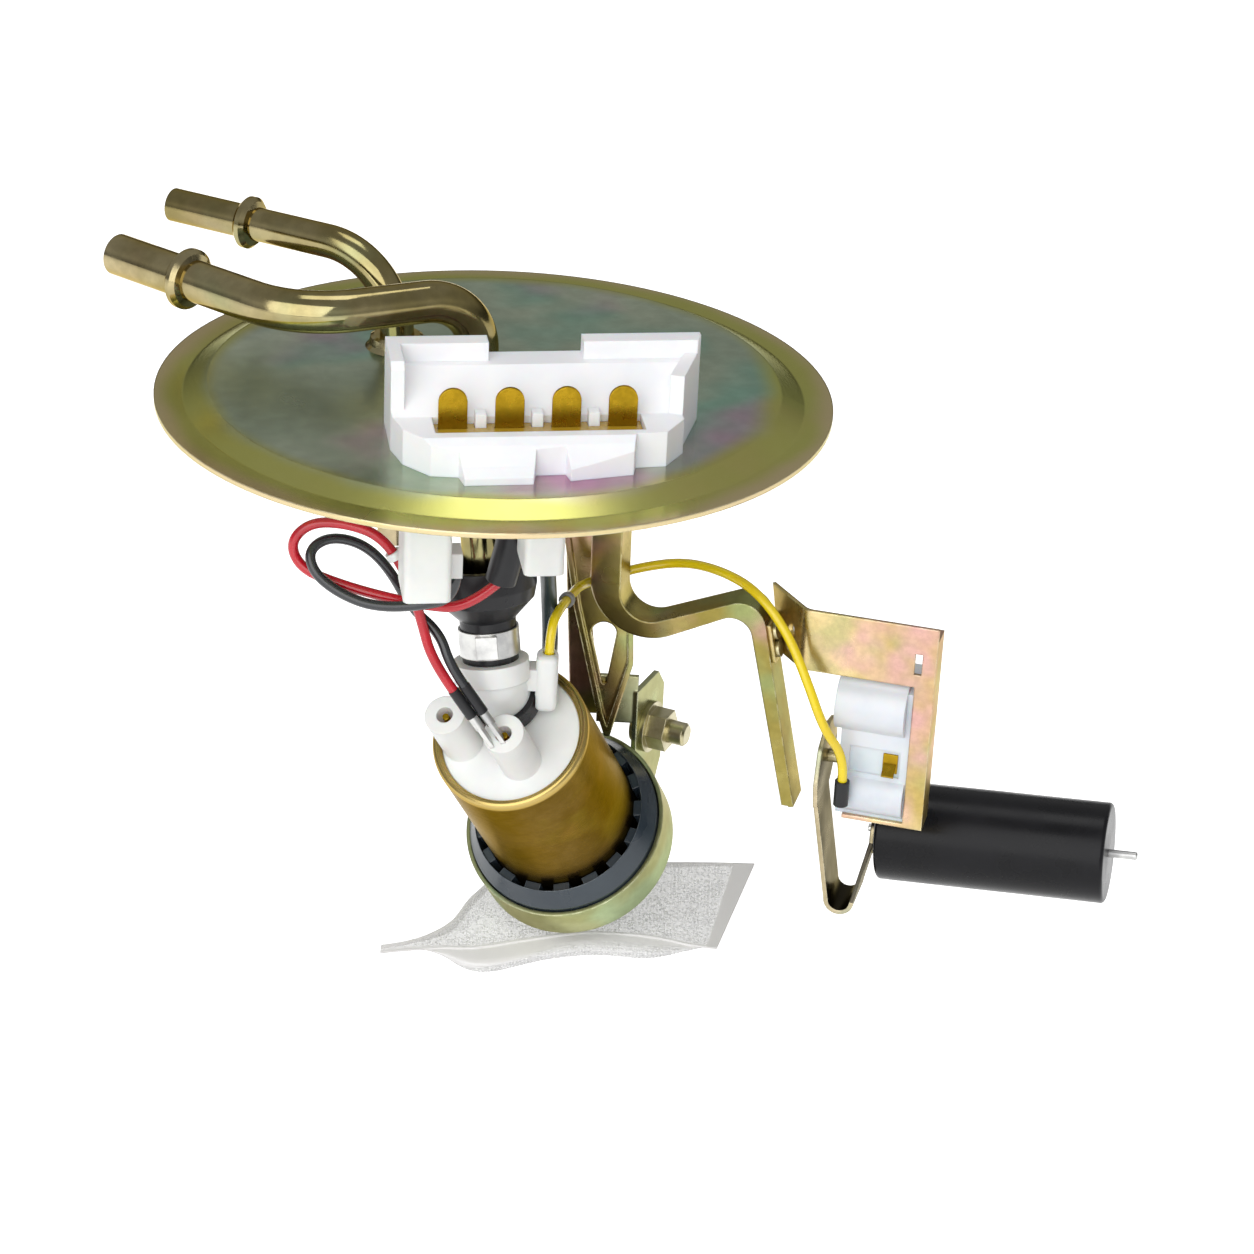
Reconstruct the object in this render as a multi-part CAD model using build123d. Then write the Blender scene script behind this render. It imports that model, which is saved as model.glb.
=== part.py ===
from build123d import *
import math
import os

# Fuel pump module: flange, pump, sender and their carriers.
# Millimetres. The origin is the centre of the flange's seat face, +Z leads out of the tank,
# +X leads from the pump towards the float.

# ---------------------------------------------------------------- driving dimensions
# flange
FLANGE_R = 77.5
RIM_WIDTH = 7.0
RAMP_WIDTH = 5.5
PLATE_RISE = 2.6
PLATE_T = 1.2
HOLE_CLEARANCE = 0.05

# tubes
SUPPLY_R = 4.765
RETURN_R = 3.97
TUBE_WALL = 0.9
BEAD_HEIGHT = 2.2
BEAD_HALF = 1.9
COLLAR_WALL = 2.6
COLLAR_H = 3.0

# electrical connector, in its own frame turned about Z
CONNECTOR_TURN = 9.6
CONNECTOR_LEFT = -27.4
CONNECTOR_RIGHT = 42.6
CONNECTOR_BACK = -22.6
CONNECTOR_TOP = 24.0
CHEEK_T = 3.0
RIM_BAND = 4.0
PLATFORM_TOP = 12.0
SLOT_LEFT = -18.6
SLOT_RIGHT = 27.2
SLOT_BACK = -40.0
SLOT_FRONT = -48.6
SLOT_DEPTH = 3.2
BLADE_PITCH = 12.4
BLADE_FIRST = -14.3
BLADE_W = 6.3
BLADE_T = 0.8
BLADE_TOP = 19.7
BLADE_Y = -42.4
BLADE_COUNT = 4

# pump, in its own frame: origin at the rim, z up along the shaft
PUMP_TOP = (6.3, -14.0, -80.0)
PUMP_AXIS = (-0.2496, -0.5890, 0.7687)
PUMP_X = (0.9683, -0.1518, 0.1981)
SHELL_R = 19.0
SHELL_WALL = 1.2
SHELL_LEN = 62.0
LIP_R = 1.1
TOWER_R = 4.9
TOWER_H = 14.6
TOWERS = ((-11.6, -1.1), (2.9, -6.8))
OUTLET_R = 4.2
OUTLET_H = 9.0
SHAFT_R = 1.5
BOSS_R = 4.0
BRUSH_T = 2.5
SHAFT_CLEARANCE = 0.05
ARMATURE_R = 11.2
MAGNET_IN_R = 12.2
IMPELLER_R = 14.0
IMPELLER_VANES = 20
IMPELLER_TOP = 12.8 - SHELL_LEN
IMPELLER_T = 3.0
IMPELLER_GAP = 0.2
CHAMBER_TOP = 16.0 - SHELL_LEN
CHAMBER_T = 3.0
MAGNET_LOW = CHAMBER_TOP + 2.0
MAGNET_TOP = -14.0
COVER_TOP = 12.95 - SHELL_LEN
COVER_LOW = 4.0 - SHELL_LEN
INLET_AT = (6.0, 0.0)
INLET_R = 5.0
INLET_TIP = -7.0 - SHELL_LEN
SHAFT_TOP = -7.0
SHAFT_LOW = 5.5 - SHELL_LEN

# isolator and cradle, in the pump's frame
ISOLATOR_TOP = 15.5 - SHELL_LEN
ISOLATOR_R = SHELL_R + 4.9
TEETH = 17
TOOTH_R = SHELL_R + 0.15
CUP_T = 1.0
CUP_R = ISOLATOR_R + CUP_T + 0.3
CUP_TOP = 9.0 - SHELL_LEN
CUP_BOTTOM = -4.0 - SHELL_LEN
CUP_HOLE_R = 14.0

# outlet stack from the supply tube to the pump
SUPPLY_LEG_TOP = (-3.9, -5.9, -14.0)
STACK_BEND = (2.0, -14.5, -65.5)
SUPPLY_LEG_END = 44.0
COUPLER_BOWL_R = 12.2
COUPLER_NECK_R = 6.6
CLAMP_T = 0.5
ADAPTER_R = 8.9
ADAPTER_LOW_R = 7.5
BAND_T = 1.3
BAND_LOW = 0.6
BAND_HIGH = 5.8

# hanger strap, flat across Y
STRAP_FRONT = 30.5
STRAP_T = 1.5
STRAP_LIP = 1.8
BOLT_R = 3.0
BRACKET_YAW = -22.5
BRACKET_AT = (35.2, 32.0, -108.0)
BRACKET_W = 17.0
BOLT_ALONG = 7.6
BOLT_Z = -104.0

# sender group, in its own frame turned about Z
SENDER_AT = (74.0, 8.0, 0.0)
SENDER_YAW = -14.0
ARM_FRONT = -2.0
ARM_WIDTH = 9.0
ARM_T = 1.3
FRAME_T = 1.0
FRAME_FRONT = -2.0
FRAME_DEPTH = 8.0
FRAME_RIGHT = 33.8
STRAP_TOP_Z = -53.5
STRAP_BOTTOM_Z = -69.3
FRAME_BOTTOM_Z = -107.6
BODY_LEFT = 10.6
BODY_TOP_Z = -72.0
PIVOT_Y = 7.0
PIVOT_Z = -96.0
PIVOT_R = 1.6
FLOAT_ARM_X = 7.2
FLOAT_ARM_T = 1.1
FLOAT_LEFT = (20.4, 22.6, -122.8)
FLOAT_R = 12.5
FLOAT_LEN = 57.0
FLOAT_PIN_R = 1.0
FLOAT_PIN_OUT = 7.0

# wires
WIRE_R = 1.2
YELLOW_R = 1.15
SLEEVE_R = 3.6

# inlet filter
SOCK_T = 4.0
NECK_DROP = 15.8

BOTTOM = (Align.CENTER, Align.CENTER, Align.MIN)
nodes = {}


# ---------------------------------------------------------------- helpers
def rod(start, end, radius):
    """A straight round bar between two points."""
    a, b = Vector(start), Vector(end)
    return Plane(origin=a, z_dir=b - a) * Cylinder(radius, (b - a).length, align=BOTTOM)


def ring(outer, inner, height):
    """A washer standing on z = 0."""
    return Cylinder(outer, height, align=BOTTOM) - Cylinder(inner, height, align=BOTTOM)


def band(outer, inner, low, high):
    """A ring between two heights."""
    return Pos(0, 0, low) * ring(outer, inner, high - low)


def turned(points):
    """A solid of revolution about Z from (radius, height) points."""
    outline = Polyline(*[(r, 0, z) for r, z in points], close=True)
    return revolve(make_face(outline), Axis.Z)


def plate_xz(points, front, thickness, radius=0.0):
    """A flat plate across Y from an outline of (x, z) points."""
    if radius:
        outline = FilletPolyline(*[(x, front, z) for x, z in points], radius=radius, close=True)
    else:
        outline = Polyline(*[(x, front, z) for x, z in points], close=True)
    return extrude(make_face(outline), amount=thickness, dir=(0, 1, 0))


def box_between(low, high):
    """An upright box from its two corners."""
    size = [h - l for l, h in zip(low, high)]
    middle = [(l + h) / 2 for l, h in zip(low, high)]
    return Pos(*middle) * Box(*size)


def cord_radii(points):
    """The largest gentle arc at each corner of a cord's route."""
    radii = []
    for before, here, after in zip(points, points[1:], points[2:]):
        come, go = Vector(here) - Vector(before), Vector(after) - Vector(here)
        turn = math.radians(come.get_angle(go))
        radii.append(0.45 * min(come.length, go.length) / math.tan(turn / 2))
    return radii


def cord(name, points, radius):
    """A round cord along straight runs joined by tangent arcs."""
    radii = cord_radii(points)
    path = FilletPolyline(*points, radius=radii)
    section = Plane(origin=points[0], z_dir=Vector(points[1]) - Vector(points[0])) * Circle(radius)
    solid = sweep(section, path)
    ideal = math.pi * radius ** 2 * path.length
    print(name, "radii", [round(r, 1) for r in radii], "length", round(path.length, 1),
          "volume ratio", round(solid.volume / ideal, 4))
    return solid


PUMP = Plane(origin=PUMP_TOP, x_dir=PUMP_X, z_dir=PUMP_AXIS)
BEND_IN_PUMP = PUMP.to_local_coords(Vector(STACK_BEND))
OUTLET_AT = (BEND_IN_PUMP.X, BEND_IN_PUMP.Y)
SENDER = Plane(origin=SENDER_AT,
               x_dir=(math.cos(math.radians(SENDER_YAW)), math.sin(math.radians(SENDER_YAW)), 0),
               z_dir=(0, 0, 1))
CONNECTOR = Plane.XY.rotated((0, 0, CONNECTOR_TURN))


# ---------------------------------------------------------------- flange and tubes
RAMP_R = FLANGE_R - RIM_WIDTH
PLATEAU_R = RAMP_R - RAMP_WIDTH
PLATE_TOP = PLATE_RISE + PLATE_T
SUPPLY_FOOT = (SUPPLY_LEG_TOP[0], SUPPLY_LEG_TOP[1])
RETURN_FOOT = (-24.0, 18.2)


def flange_plate():
    section = [(0, PLATE_RISE), (PLATEAU_R, PLATE_RISE), (RAMP_R, 0), (FLANGE_R, 0),
               (FLANGE_R, PLATE_T), (RAMP_R + 0.5, PLATE_T), (PLATEAU_R + 0.5, PLATE_TOP),
               (0, PLATE_TOP)]
    plate = turned(section)
    for (x, y), radius in ((SUPPLY_FOOT, SUPPLY_R), (RETURN_FOOT, RETURN_R)):
        plate -= Pos(x, y, 0) * Cylinder(radius + HOLE_CLEARANCE, 20)
    window = box_between((SLOT_LEFT + 0.5, SLOT_FRONT + 1, 0), (SLOT_RIGHT - 0.5, SLOT_BACK - 1, 10))
    return plate - CONNECTOR.location * window


def hollow_tube(points, radii, radius, bead_at):
    """A bent tube with a formed bead a set distance before its far end."""
    path = FilletPolyline(*points, radius=radii)
    start = Plane(origin=points[0], z_dir=Vector(points[1]) - Vector(points[0]))
    tube = sweep(start * (Circle(radius) - Circle(radius - TUBE_WALL)), path)
    end, before = Vector(points[-1]), Vector(points[-2])
    along = (before - end).normalized()
    bead = Plane(origin=end + along * bead_at, z_dir=along) * bead_ring(radius)
    return tube + bead


def bead_ring(radius):
    """The bead's rounded ring, sunk halfway into the tube's wall."""
    inner = radius - TUBE_WALL / 2
    crown = radius + BEAD_HEIGHT
    ring_points = [(inner, -BEAD_HALF), (radius, -BEAD_HALF), (crown - 0.9, -BEAD_HALF * 0.8),
                   (crown, -BEAD_HALF * 0.3), (crown, BEAD_HALF * 0.3),
                   (crown - 0.9, BEAD_HALF * 0.8), (radius, BEAD_HALF), (inner, BEAD_HALF)]
    return turned(ring_points)


stack_down = (Vector(STACK_BEND) - Vector(SUPPLY_LEG_TOP)).normalized()
SUPPLY_END = Vector(SUPPLY_LEG_TOP) + stack_down * SUPPLY_LEG_END
SUPPLY_KNEE = (-42.6, -25.1, 26.8)
SUPPLY_TIP = (-87.0, 8.2, 26.8)
SUPPLY_BEAD = 22.2
RETURN_TIP = (-79.6, 46.4, 25.6)
RETURN_BEAD = 21.6
RETURN_LOW = -46.0


def supply_tube():
    points = [tuple(SUPPLY_END), SUPPLY_LEG_TOP, (*SUPPLY_FOOT, 26.5), SUPPLY_KNEE,
              SUPPLY_TIP]
    return hollow_tube(points, [30, 13, 21], SUPPLY_R, SUPPLY_BEAD)


def return_tube():
    points = [(*RETURN_FOOT, RETURN_LOW), (*RETURN_FOOT, RETURN_TIP[2]), RETURN_TIP]
    return hollow_tube(points, [19], RETURN_R, RETURN_BEAD)


def tube_collar(foot, radius):
    """The brazed ring where a tube leaves the flange."""
    inner = radius + HOLE_CLEARANCE
    outer = radius + COLLAR_WALL
    section = [(inner, 0), (outer + 0.8, 0), (outer, 0.9), (outer - 0.4, COLLAR_H - 0.5),
               (outer - 1.2, COLLAR_H), (inner, COLLAR_H)]
    return Pos(*foot, PLATE_TOP) * turned(section)


nodes["flange_plate"] = flange_plate()
nodes["supply_tube"] = supply_tube()
nodes["return_tube"] = return_tube()
nodes["supply_tube_collar"] = tube_collar(SUPPLY_FOOT, SUPPLY_R)
nodes["return_tube_collar"] = tube_collar(RETURN_FOOT, RETURN_R)


# ---------------------------------------------------------------- connector
def connector_section():
    """Side profile of the socket: back wall, sloping seat, slot and front foot."""
    z0 = PLATE_TOP
    back = CONNECTOR_BACK
    return [(back, z0), (back, CONNECTOR_TOP), (back - 4.6, CONNECTOR_TOP),
            (back - 5.2, CONNECTOR_TOP - RIM_BAND), (back - 7.4, CONNECTOR_TOP - RIM_BAND),
            (SLOT_BACK, PLATFORM_TOP), (SLOT_FRONT - 2.6, PLATFORM_TOP),
            (SLOT_FRONT - 4.6, PLATFORM_TOP - 1.2), (SLOT_FRONT - 7.6, z0 + 3.4),
            (SLOT_FRONT - 9.8, z0 + 1.6), (SLOT_FRONT - 9.8, z0)]


def connector_footprint():
    return [(CONNECTOR_LEFT, CONNECTOR_BACK + 1), (CONNECTOR_LEFT, -38.5), (-25.4, -46.5),
            (-20.0, -53.0), (-14.0, -54.0), (-13.2, -58.4), (1.7, -58.4), (2.7, -53.8),
            (9.2, -53.5), (9.9, -57.0), (23.9, -54.4), (24.8, -50.7), (31.6, -50.2),
            (CHEEK_TIP[0], -43.3), CHEEK_TIP, (CONNECTOR_RIGHT, CHEEK_TOP_Y),
            (CONNECTOR_RIGHT, CONNECTOR_BACK + 1)]


CHEEK_TOP_Y = -24.5
CHEEK_TIP = (36.4, -41.0)
CHEEK_DROP = 3.0


def left_cheek():
    """The upright side wall at the connector's left end."""
    front, clip = -38.5, 1.5
    points = [(CONNECTOR_BACK, PLATE_TOP), (CONNECTOR_BACK, CONNECTOR_TOP), (front + clip, CONNECTOR_TOP),
              (front, CONNECTOR_TOP - clip), (front, PLATE_TOP)]
    outline = Polyline(*[(CONNECTOR_LEFT, y, z) for y, z in points], close=True)
    return extrude(make_face(outline), amount=CHEEK_T, dir=(1, 0, 0))


def right_cheek():
    """The lower side wall at the right end, turned in towards its front."""
    right, back = CONNECTOR_RIGHT, CONNECTOR_BACK
    points = [(right, back), (right, CHEEK_TOP_Y), CHEEK_TIP, (CHEEK_TIP[0] - CHEEK_T, CHEEK_TIP[1] + 1.0),
              (right - CHEEK_T, CHEEK_TOP_Y), (right - CHEEK_T, back)]
    outline = Polyline(*[(x, y, PLATE_TOP) for x, y in points], close=True)
    return extrude(make_face(outline), amount=CONNECTOR_TOP - CHEEK_DROP - PLATE_TOP, dir=(0, 0, 1))


def connector_housing():
    length = CONNECTOR_RIGHT - CONNECTOR_LEFT
    outline = Polyline(*[(CONNECTOR_LEFT, y, z) for y, z in connector_section()], close=True)
    body = extrude(make_face(outline), amount=length, dir=(1, 0, 0))
    foot = Polyline(*[(x, y, 0) for x, y in connector_footprint()], close=True)
    body = body & extrude(make_face(foot), amount=CONNECTOR_TOP + 1, dir=(0, 0, 1))
    body = body + left_cheek() + right_cheek()
    notch = box_between((-5, CONNECTOR_BACK - 12, CONNECTOR_TOP - RIM_BAND), (16, 0, 40))
    slot = box_between((SLOT_LEFT, SLOT_FRONT, -5), (SLOT_RIGHT, SLOT_BACK, 40))
    body = body - notch - slot
    floor = box_between((SLOT_LEFT, SLOT_FRONT, PLATE_TOP),
                        (SLOT_RIGHT, SLOT_BACK, PLATFORM_TOP - SLOT_DEPTH))
    for index in range(BLADE_COUNT):
        floor -= blade(index, HOLE_CLEARANCE)
    body += floor
    for index in range(BLADE_COUNT - 1):
        x = BLADE_FIRST + (index + 0.5) * BLADE_PITCH
        body += box_between((x - 1.2, SLOT_BACK - 2.5, PLATFORM_TOP - SLOT_DEPTH),
                            (x + 1.2, SLOT_BACK + 0.5, PLATFORM_TOP + 1.5))
    return CONNECTOR.location * body


BLADE_LOW = PLATE_RISE + 0.1


def blade(index, grow=0.0):
    """One flat terminal with a rounded tip, in the connector's frame."""
    x = BLADE_FIRST + index * BLADE_PITCH
    half = BLADE_W / 2 + grow
    top = BLADE_TOP
    flat = box_between((x - half, BLADE_Y - BLADE_T / 2 - grow, BLADE_LOW),
                       (x + half, BLADE_Y + BLADE_T / 2 + grow, top - half))
    tip = Pos(x, BLADE_Y, top - half) * Rot(90, 0, 0) * Cylinder(half, BLADE_T + 2 * grow)
    return flat + tip


def terminal_blades():
    return Compound(children=[CONNECTOR.location * blade(i) for i in range(BLADE_COUNT)])


def terminal_sealant():
    low = PLATFORM_TOP - SLOT_DEPTH
    fill = box_between((SLOT_LEFT + 0.1, SLOT_FRONT + 0.1, low),
                       (SLOT_RIGHT - 0.1, SLOT_BACK - 0.1, low + 1.6))
    for index in range(BLADE_COUNT):
        fill -= blade(index, HOLE_CLEARANCE)
        if index < BLADE_COUNT - 1:
            x = BLADE_FIRST + (index + 0.5) * BLADE_PITCH
            fill -= box_between((x - 1.3, SLOT_BACK - 2.6, low - 1), (x + 1.3, SLOT_BACK + 1, 20))
    return CONNECTOR.location * fill


LOWER_LEFT = (-24.6, -14.0)
LOWER_RIGHT = (2.0, 11.0)
LOWER_FRONT = -46.0
LOWER_BACK = -31.0


def lower_housing(span, depth):
    """A wire housing that hangs under the flange below one pair of blades."""
    left, right = span
    shell = box_between((left, LOWER_FRONT, -depth), (right, LOWER_BACK, PLATE_RISE))
    edges = shell.edges().filter_by(Axis.Z)
    shell = fillet(edges, 1.5)
    window = box_between((left + 1.6, LOWER_FRONT + 1.6, -depth - 1),
                         (right - 1.6, LOWER_BACK - 1.6, -4.0))
    shell -= window
    return shell


def connector_lower_left():
    shell = lower_housing(LOWER_LEFT, 30.0)
    tab = box_between((LOWER_LEFT[1], -40.0, -27.0), (LOWER_LEFT[1] + 3.0, -34.0, -21.0))
    return CONNECTOR.location * (shell + tab)


def connector_lower_right():
    return CONNECTOR.location * lower_housing(LOWER_RIGHT, 24.0)


nodes["connector_housing"] = connector_housing()
nodes["terminal_blades"] = terminal_blades()
nodes["terminal_sealant"] = terminal_sealant()
nodes["connector_lower_left"] = connector_lower_left()
nodes["connector_lower_right"] = connector_lower_right()


# ---------------------------------------------------------------- pump
def pump_shell():
    r, w, n = SHELL_R, SHELL_WALL, SHELL_LEN
    can = turned([(r - w, -n), (r, -n + 1.2), (r, -LIP_R), (r - w, -LIP_R)])
    lip_face = Pos(r - LIP_R, 0, -LIP_R) * Rot(90, 0, 0) * Circle(LIP_R)
    lip = revolve(lip_face, Axis.Z)
    return can + lip


CAP_TOP = -1.4
CAP_R = SHELL_R - 2 * LIP_R - 0.1
CAP_LOW = -5.0


def pump_end_cap():
    wide = SHELL_R - SHELL_WALL - 0.05
    cap = turned([(0, CAP_LOW), (wide, CAP_LOW), (wide, -2.4), (CAP_R, -2.2), (CAP_R, CAP_TOP),
                  (0, CAP_TOP)])
    boss = band(BOSS_R, SHAFT_R + SHAFT_CLEARANCE, CAP_LOW - 3.0, CAP_LOW)
    cap += boss
    cap -= Pos(0, 0, CAP_LOW) * Cylinder(SHAFT_R + SHAFT_CLEARANCE, 1.5, align=BOTTOM)
    for x, y in TOWERS:
        tower = Pos(x, y, CAP_TOP) * Cylinder(TOWER_R, TOWER_H - CAP_TOP, align=BOTTOM)
        tower -= Pos(x, y, TOWER_H - 7.0) * Cylinder(2.0, 8.0, align=BOTTOM)
        cap += tower
    x, y = OUTLET_AT
    spigot = Pos(x, y, CAP_TOP) * Cylinder(OUTLET_R, OUTLET_H - CAP_TOP, align=BOTTOM)
    barb = Pos(x, y, OUTLET_H - 3.2) * Cone(OUTLET_R + 0.6, OUTLET_R, 2.4, align=BOTTOM)
    cap = cap + spigot + barb
    return cap - Pos(x, y, CAP_LOW) * Cylinder(2.4, OUTLET_H - CAP_LOW + 1, align=BOTTOM)


def terminal_pins():
    pins = []
    for x, y in TOWERS:
        pins.append(Pos(x, y, TOWER_H - 6.95) * Cylinder(0.8, 6.0, align=BOTTOM))
    return Compound(children=pins)


def pump_magnets():
    shells = []
    for side in (0, 180):
        arc = band(SHELL_R - SHELL_WALL - 0.05, MAGNET_IN_R, MAGNET_LOW, MAGNET_TOP)
        middle = (MAGNET_LOW + MAGNET_TOP) / 2
        gap = Pos(0, 0, middle) * Box(60, 9.0, MAGNET_TOP - MAGNET_LOW + 10.0)
        half = Pos(0, 30, middle) * Box(80, 60, MAGNET_TOP - MAGNET_LOW + 30.0)
        shells.append(Rot(0, 0, side) * ((arc - gap) & half))
    return Compound(children=shells)


def pump_armature():
    low, top = MAGNET_LOW + 1.5, MAGNET_TOP - 1.5
    core = Cylinder(ARMATURE_R, top - low, align=BOTTOM)
    slots = 8
    for index in range(slots):
        slot = Pos(ARMATURE_R, 0, -1) * Box(5.0, 1.6, top - low + 3.0, align=BOTTOM)
        core -= Rot(0, 0, index * 360 / slots) * slot
    return Pos(0, 0, low) * core


def pump_shaft():
    return Pos(0, 0, SHAFT_LOW) * Cylinder(SHAFT_R, SHAFT_TOP - SHAFT_LOW, align=BOTTOM)


def pump_commutator():
    return band(7.0, SHAFT_R, -15.5, -11.0)


def pump_brushes():
    brushes = []
    for angle in (0, 180):
        block = Pos(BOSS_R + 0.1 + BRUSH_T / 2, 0, -10.95) * Box(BRUSH_T, 4.0, 5.9, align=BOTTOM)
        brushes.append(Rot(0, 0, angle) * block)
    return Compound(children=brushes)


def pump_impeller():
    wheel = band(IMPELLER_R, SHAFT_R, IMPELLER_TOP - IMPELLER_T, IMPELLER_TOP)
    for index in range(IMPELLER_VANES):
        notch = Pos(IMPELLER_R - 1.2, 0, IMPELLER_TOP - IMPELLER_T / 2) * Box(2.6, 1.5, IMPELLER_T + 0.4)
        wheel -= Rot(0, 0, index * 360 / IMPELLER_VANES) * notch
    return wheel


def pump_chamber():
    """Upper pump plate with the shaft's lower bush, above the impeller."""
    r = SHELL_R - SHELL_WALL - 0.05
    return band(r, SHAFT_R + SHAFT_CLEARANCE, CHAMBER_TOP - CHAMBER_T, CHAMBER_TOP)


def pump_inlet_cover():
    r = SHELL_R - SHELL_WALL - 0.05
    room = IMPELLER_R + 0.4
    floor = IMPELLER_TOP - IMPELLER_T - IMPELLER_GAP
    cover = turned([(0, COVER_LOW), (r, COVER_LOW), (r, COVER_TOP), (room, COVER_TOP), (room, floor), (0, floor)])
    cover -= Pos(0, 0, SHAFT_LOW - 0.2) * Cylinder(SHAFT_R + SHAFT_CLEARANCE, 6, align=BOTTOM)
    x, y = INLET_AT
    cover += Pos(x, y, INLET_TIP) * Cylinder(INLET_R, COVER_LOW - INLET_TIP + 0.5, align=BOTTOM)
    return cover - Pos(x, y, INLET_TIP - 1.0) * Cylinder(INLET_R - 1.3, 20.0, align=BOTTOM)


def isolator_ring():
    """Soft ring round the pump's foot; its inner teeth touch the shell."""
    inner = SHELL_R + 1.6
    body = turned([(inner, ISOLATOR_TOP - 3.0), (inner + 0.6, ISOLATOR_TOP), (ISOLATOR_R - 2.2, ISOLATOR_TOP - 1.0),
                   (ISOLATOR_R, CUP_TOP + 1.2), (ISOLATOR_R, CUP_BOTTOM + CUP_T + 0.1),
                   (inner, CUP_BOTTOM + CUP_T + 0.1)])
    tooth_width = 3.9
    for index in range(TEETH):
        tooth = box_between((TOOTH_R, -tooth_width / 2, CUP_BOTTOM + CUP_T + 0.1),
                            (inner + 0.8, tooth_width / 2, ISOLATOR_TOP - 0.6))
        body += Rot(0, 0, index * 360 / TEETH) * tooth
    return body - Pos(0, 0, -90) * Cylinder(TOOTH_R, 100, align=BOTTOM)


def cradle_cup():
    wall = turned([(CUP_R - CUP_T, CUP_TOP), (CUP_R, CUP_TOP), (CUP_R, CUP_BOTTOM + 1.5),
                   (CUP_R - 1.5, CUP_BOTTOM), (CUP_HOLE_R, CUP_BOTTOM),
                   (CUP_HOLE_R, CUP_BOTTOM + CUP_T), (CUP_R - CUP_T, CUP_BOTTOM + CUP_T)])
    return wall


def in_pump(shape):
    return PUMP.location * shape


nodes["pump_shell"] = in_pump(pump_shell())
nodes["pump_end_cap"] = in_pump(pump_end_cap())
nodes["pump_terminal_pins"] = in_pump(terminal_pins())
nodes["pump_magnets"] = in_pump(pump_magnets())
nodes["pump_armature"] = in_pump(pump_armature() - pump_shaft())
nodes["pump_shaft"] = in_pump(pump_shaft())
nodes["pump_commutator"] = in_pump(pump_commutator())
nodes["pump_brushes"] = in_pump(pump_brushes())
nodes["pump_impeller"] = in_pump(pump_impeller())
nodes["pump_chamber"] = in_pump(pump_chamber())
nodes["pump_inlet_cover"] = in_pump(pump_inlet_cover())
nodes["isolator_ring"] = in_pump(isolator_ring())
nodes["cradle_cup"] = in_pump(cradle_cup())


# ---------------------------------------------------------------- outlet stack
STACK = Plane(origin=SUPPLY_LEG_TOP, x_dir=(1, 0, 0.123), z_dir=stack_down * -1)
STACK_LEN = (Vector(STACK_BEND) - Vector(SUPPLY_LEG_TOP)).length
BOWL_TOP = -24.0
BOWL_FOOT = -36.0
NECK_FOOT = -STACK_LEN + 5.0


def on_stack(shape):
    return STACK.location * shape


def hose_coupler():
    """Rubber coupler: an open bowl on a neck that grips the supply tube."""
    bore = SUPPLY_R + HOLE_CLEARANCE
    outer = [(bore, NECK_FOOT), (COUPLER_NECK_R, NECK_FOOT), (COUPLER_NECK_R, BOWL_FOOT - 1.5),
             (COUPLER_BOWL_R - 3.4, BOWL_FOOT + 0.8), (COUPLER_BOWL_R - 0.8, BOWL_FOOT + 3.4),
             (COUPLER_BOWL_R, BOWL_FOOT + 6.5), (COUPLER_BOWL_R, BOWL_TOP)]
    inner = [(COUPLER_BOWL_R - 1.8, BOWL_TOP), (COUPLER_BOWL_R - 2.0, BOWL_FOOT + 6.5),
             (bore + 1.5, BOWL_FOOT + 3.0), (bore, BOWL_FOOT + 3.0)]
    return on_stack(turned(outer + inner))


def coupler_clamp():
    low = NECK_FOOT + 1.6
    strip = band(COUPLER_NECK_R + CLAMP_T + 0.02, COUPLER_NECK_R + 0.02, low, low + 6.4)
    buckle = Pos(0, -COUPLER_NECK_R - 0.9, low + 3.2) * Box(5.0, 1.0, 5.4)
    return on_stack(strip + buckle)


EAR_AT = (14.9, -11.4)
EAR_TOP = -59.4
EAR_HOLE_DEPTH = 4.6


def adapter_ear():
    """Side clip of the adapter, with the hole that the yellow wire leaves."""
    x, y = EAR_AT
    block = box_between((x - 2.9, y - 3.2, EAR_TOP - 14.5), (x + 2.3, y + 3.2, EAR_TOP))
    block = fillet(block.edges(), 1.6)
    arm = box_between((5.0, -14.0, -68.5), (x - 1.4, -9.0, -63.0))
    hole = Pos(x, y, EAR_TOP - EAR_HOLE_DEPTH) * Cylinder(YELLOW_R + 0.3, 10, align=BOTTOM)
    return block + arm - hole


def outlet_adapter():
    """Moulded elbow between the coupler's neck and the pump's outlet."""
    bend = Vector(STACK_BEND)
    up = Vector(PUMP_AXIS)
    outlet = PUMP.from_local_coords(Vector(*OUTLET_AT, 0))
    top = bend - stack_down * 6.0
    body = rod(outlet + up * 0.2, bend, ADAPTER_LOW_R) + rod(bend, top, ADAPTER_R)
    body += Pos(*bend) * Sphere(ADAPTER_LOW_R)
    band_room = Pos(*OUTLET_AT, -1.0) * Cylinder(ADAPTER_LOW_R + BAND_T + 0.3, BAND_HIGH + 1.2, align=BOTTOM)
    body += adapter_ear() - in_pump(band_room)
    body -= on_stack(Pos(0, 0, NECK_FOOT - 0.05) * Cylinder(ADAPTER_R + 1, 20, align=BOTTOM))
    socket = rod(outlet - up * 8.0, bend + up * 1.0, OUTLET_R + 0.65)
    bore = rod(bend, top, SUPPLY_R - TUBE_WALL)
    inside = Pos(*bend) * Sphere(OUTLET_R + 0.65)
    return body - socket - bore - inside


def adapter_band():
    strip = band(ADAPTER_LOW_R + BAND_T, ADAPTER_LOW_R + 0.02, BAND_LOW, BAND_HIGH)
    return in_pump(Pos(*OUTLET_AT, 0) * strip)


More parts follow.
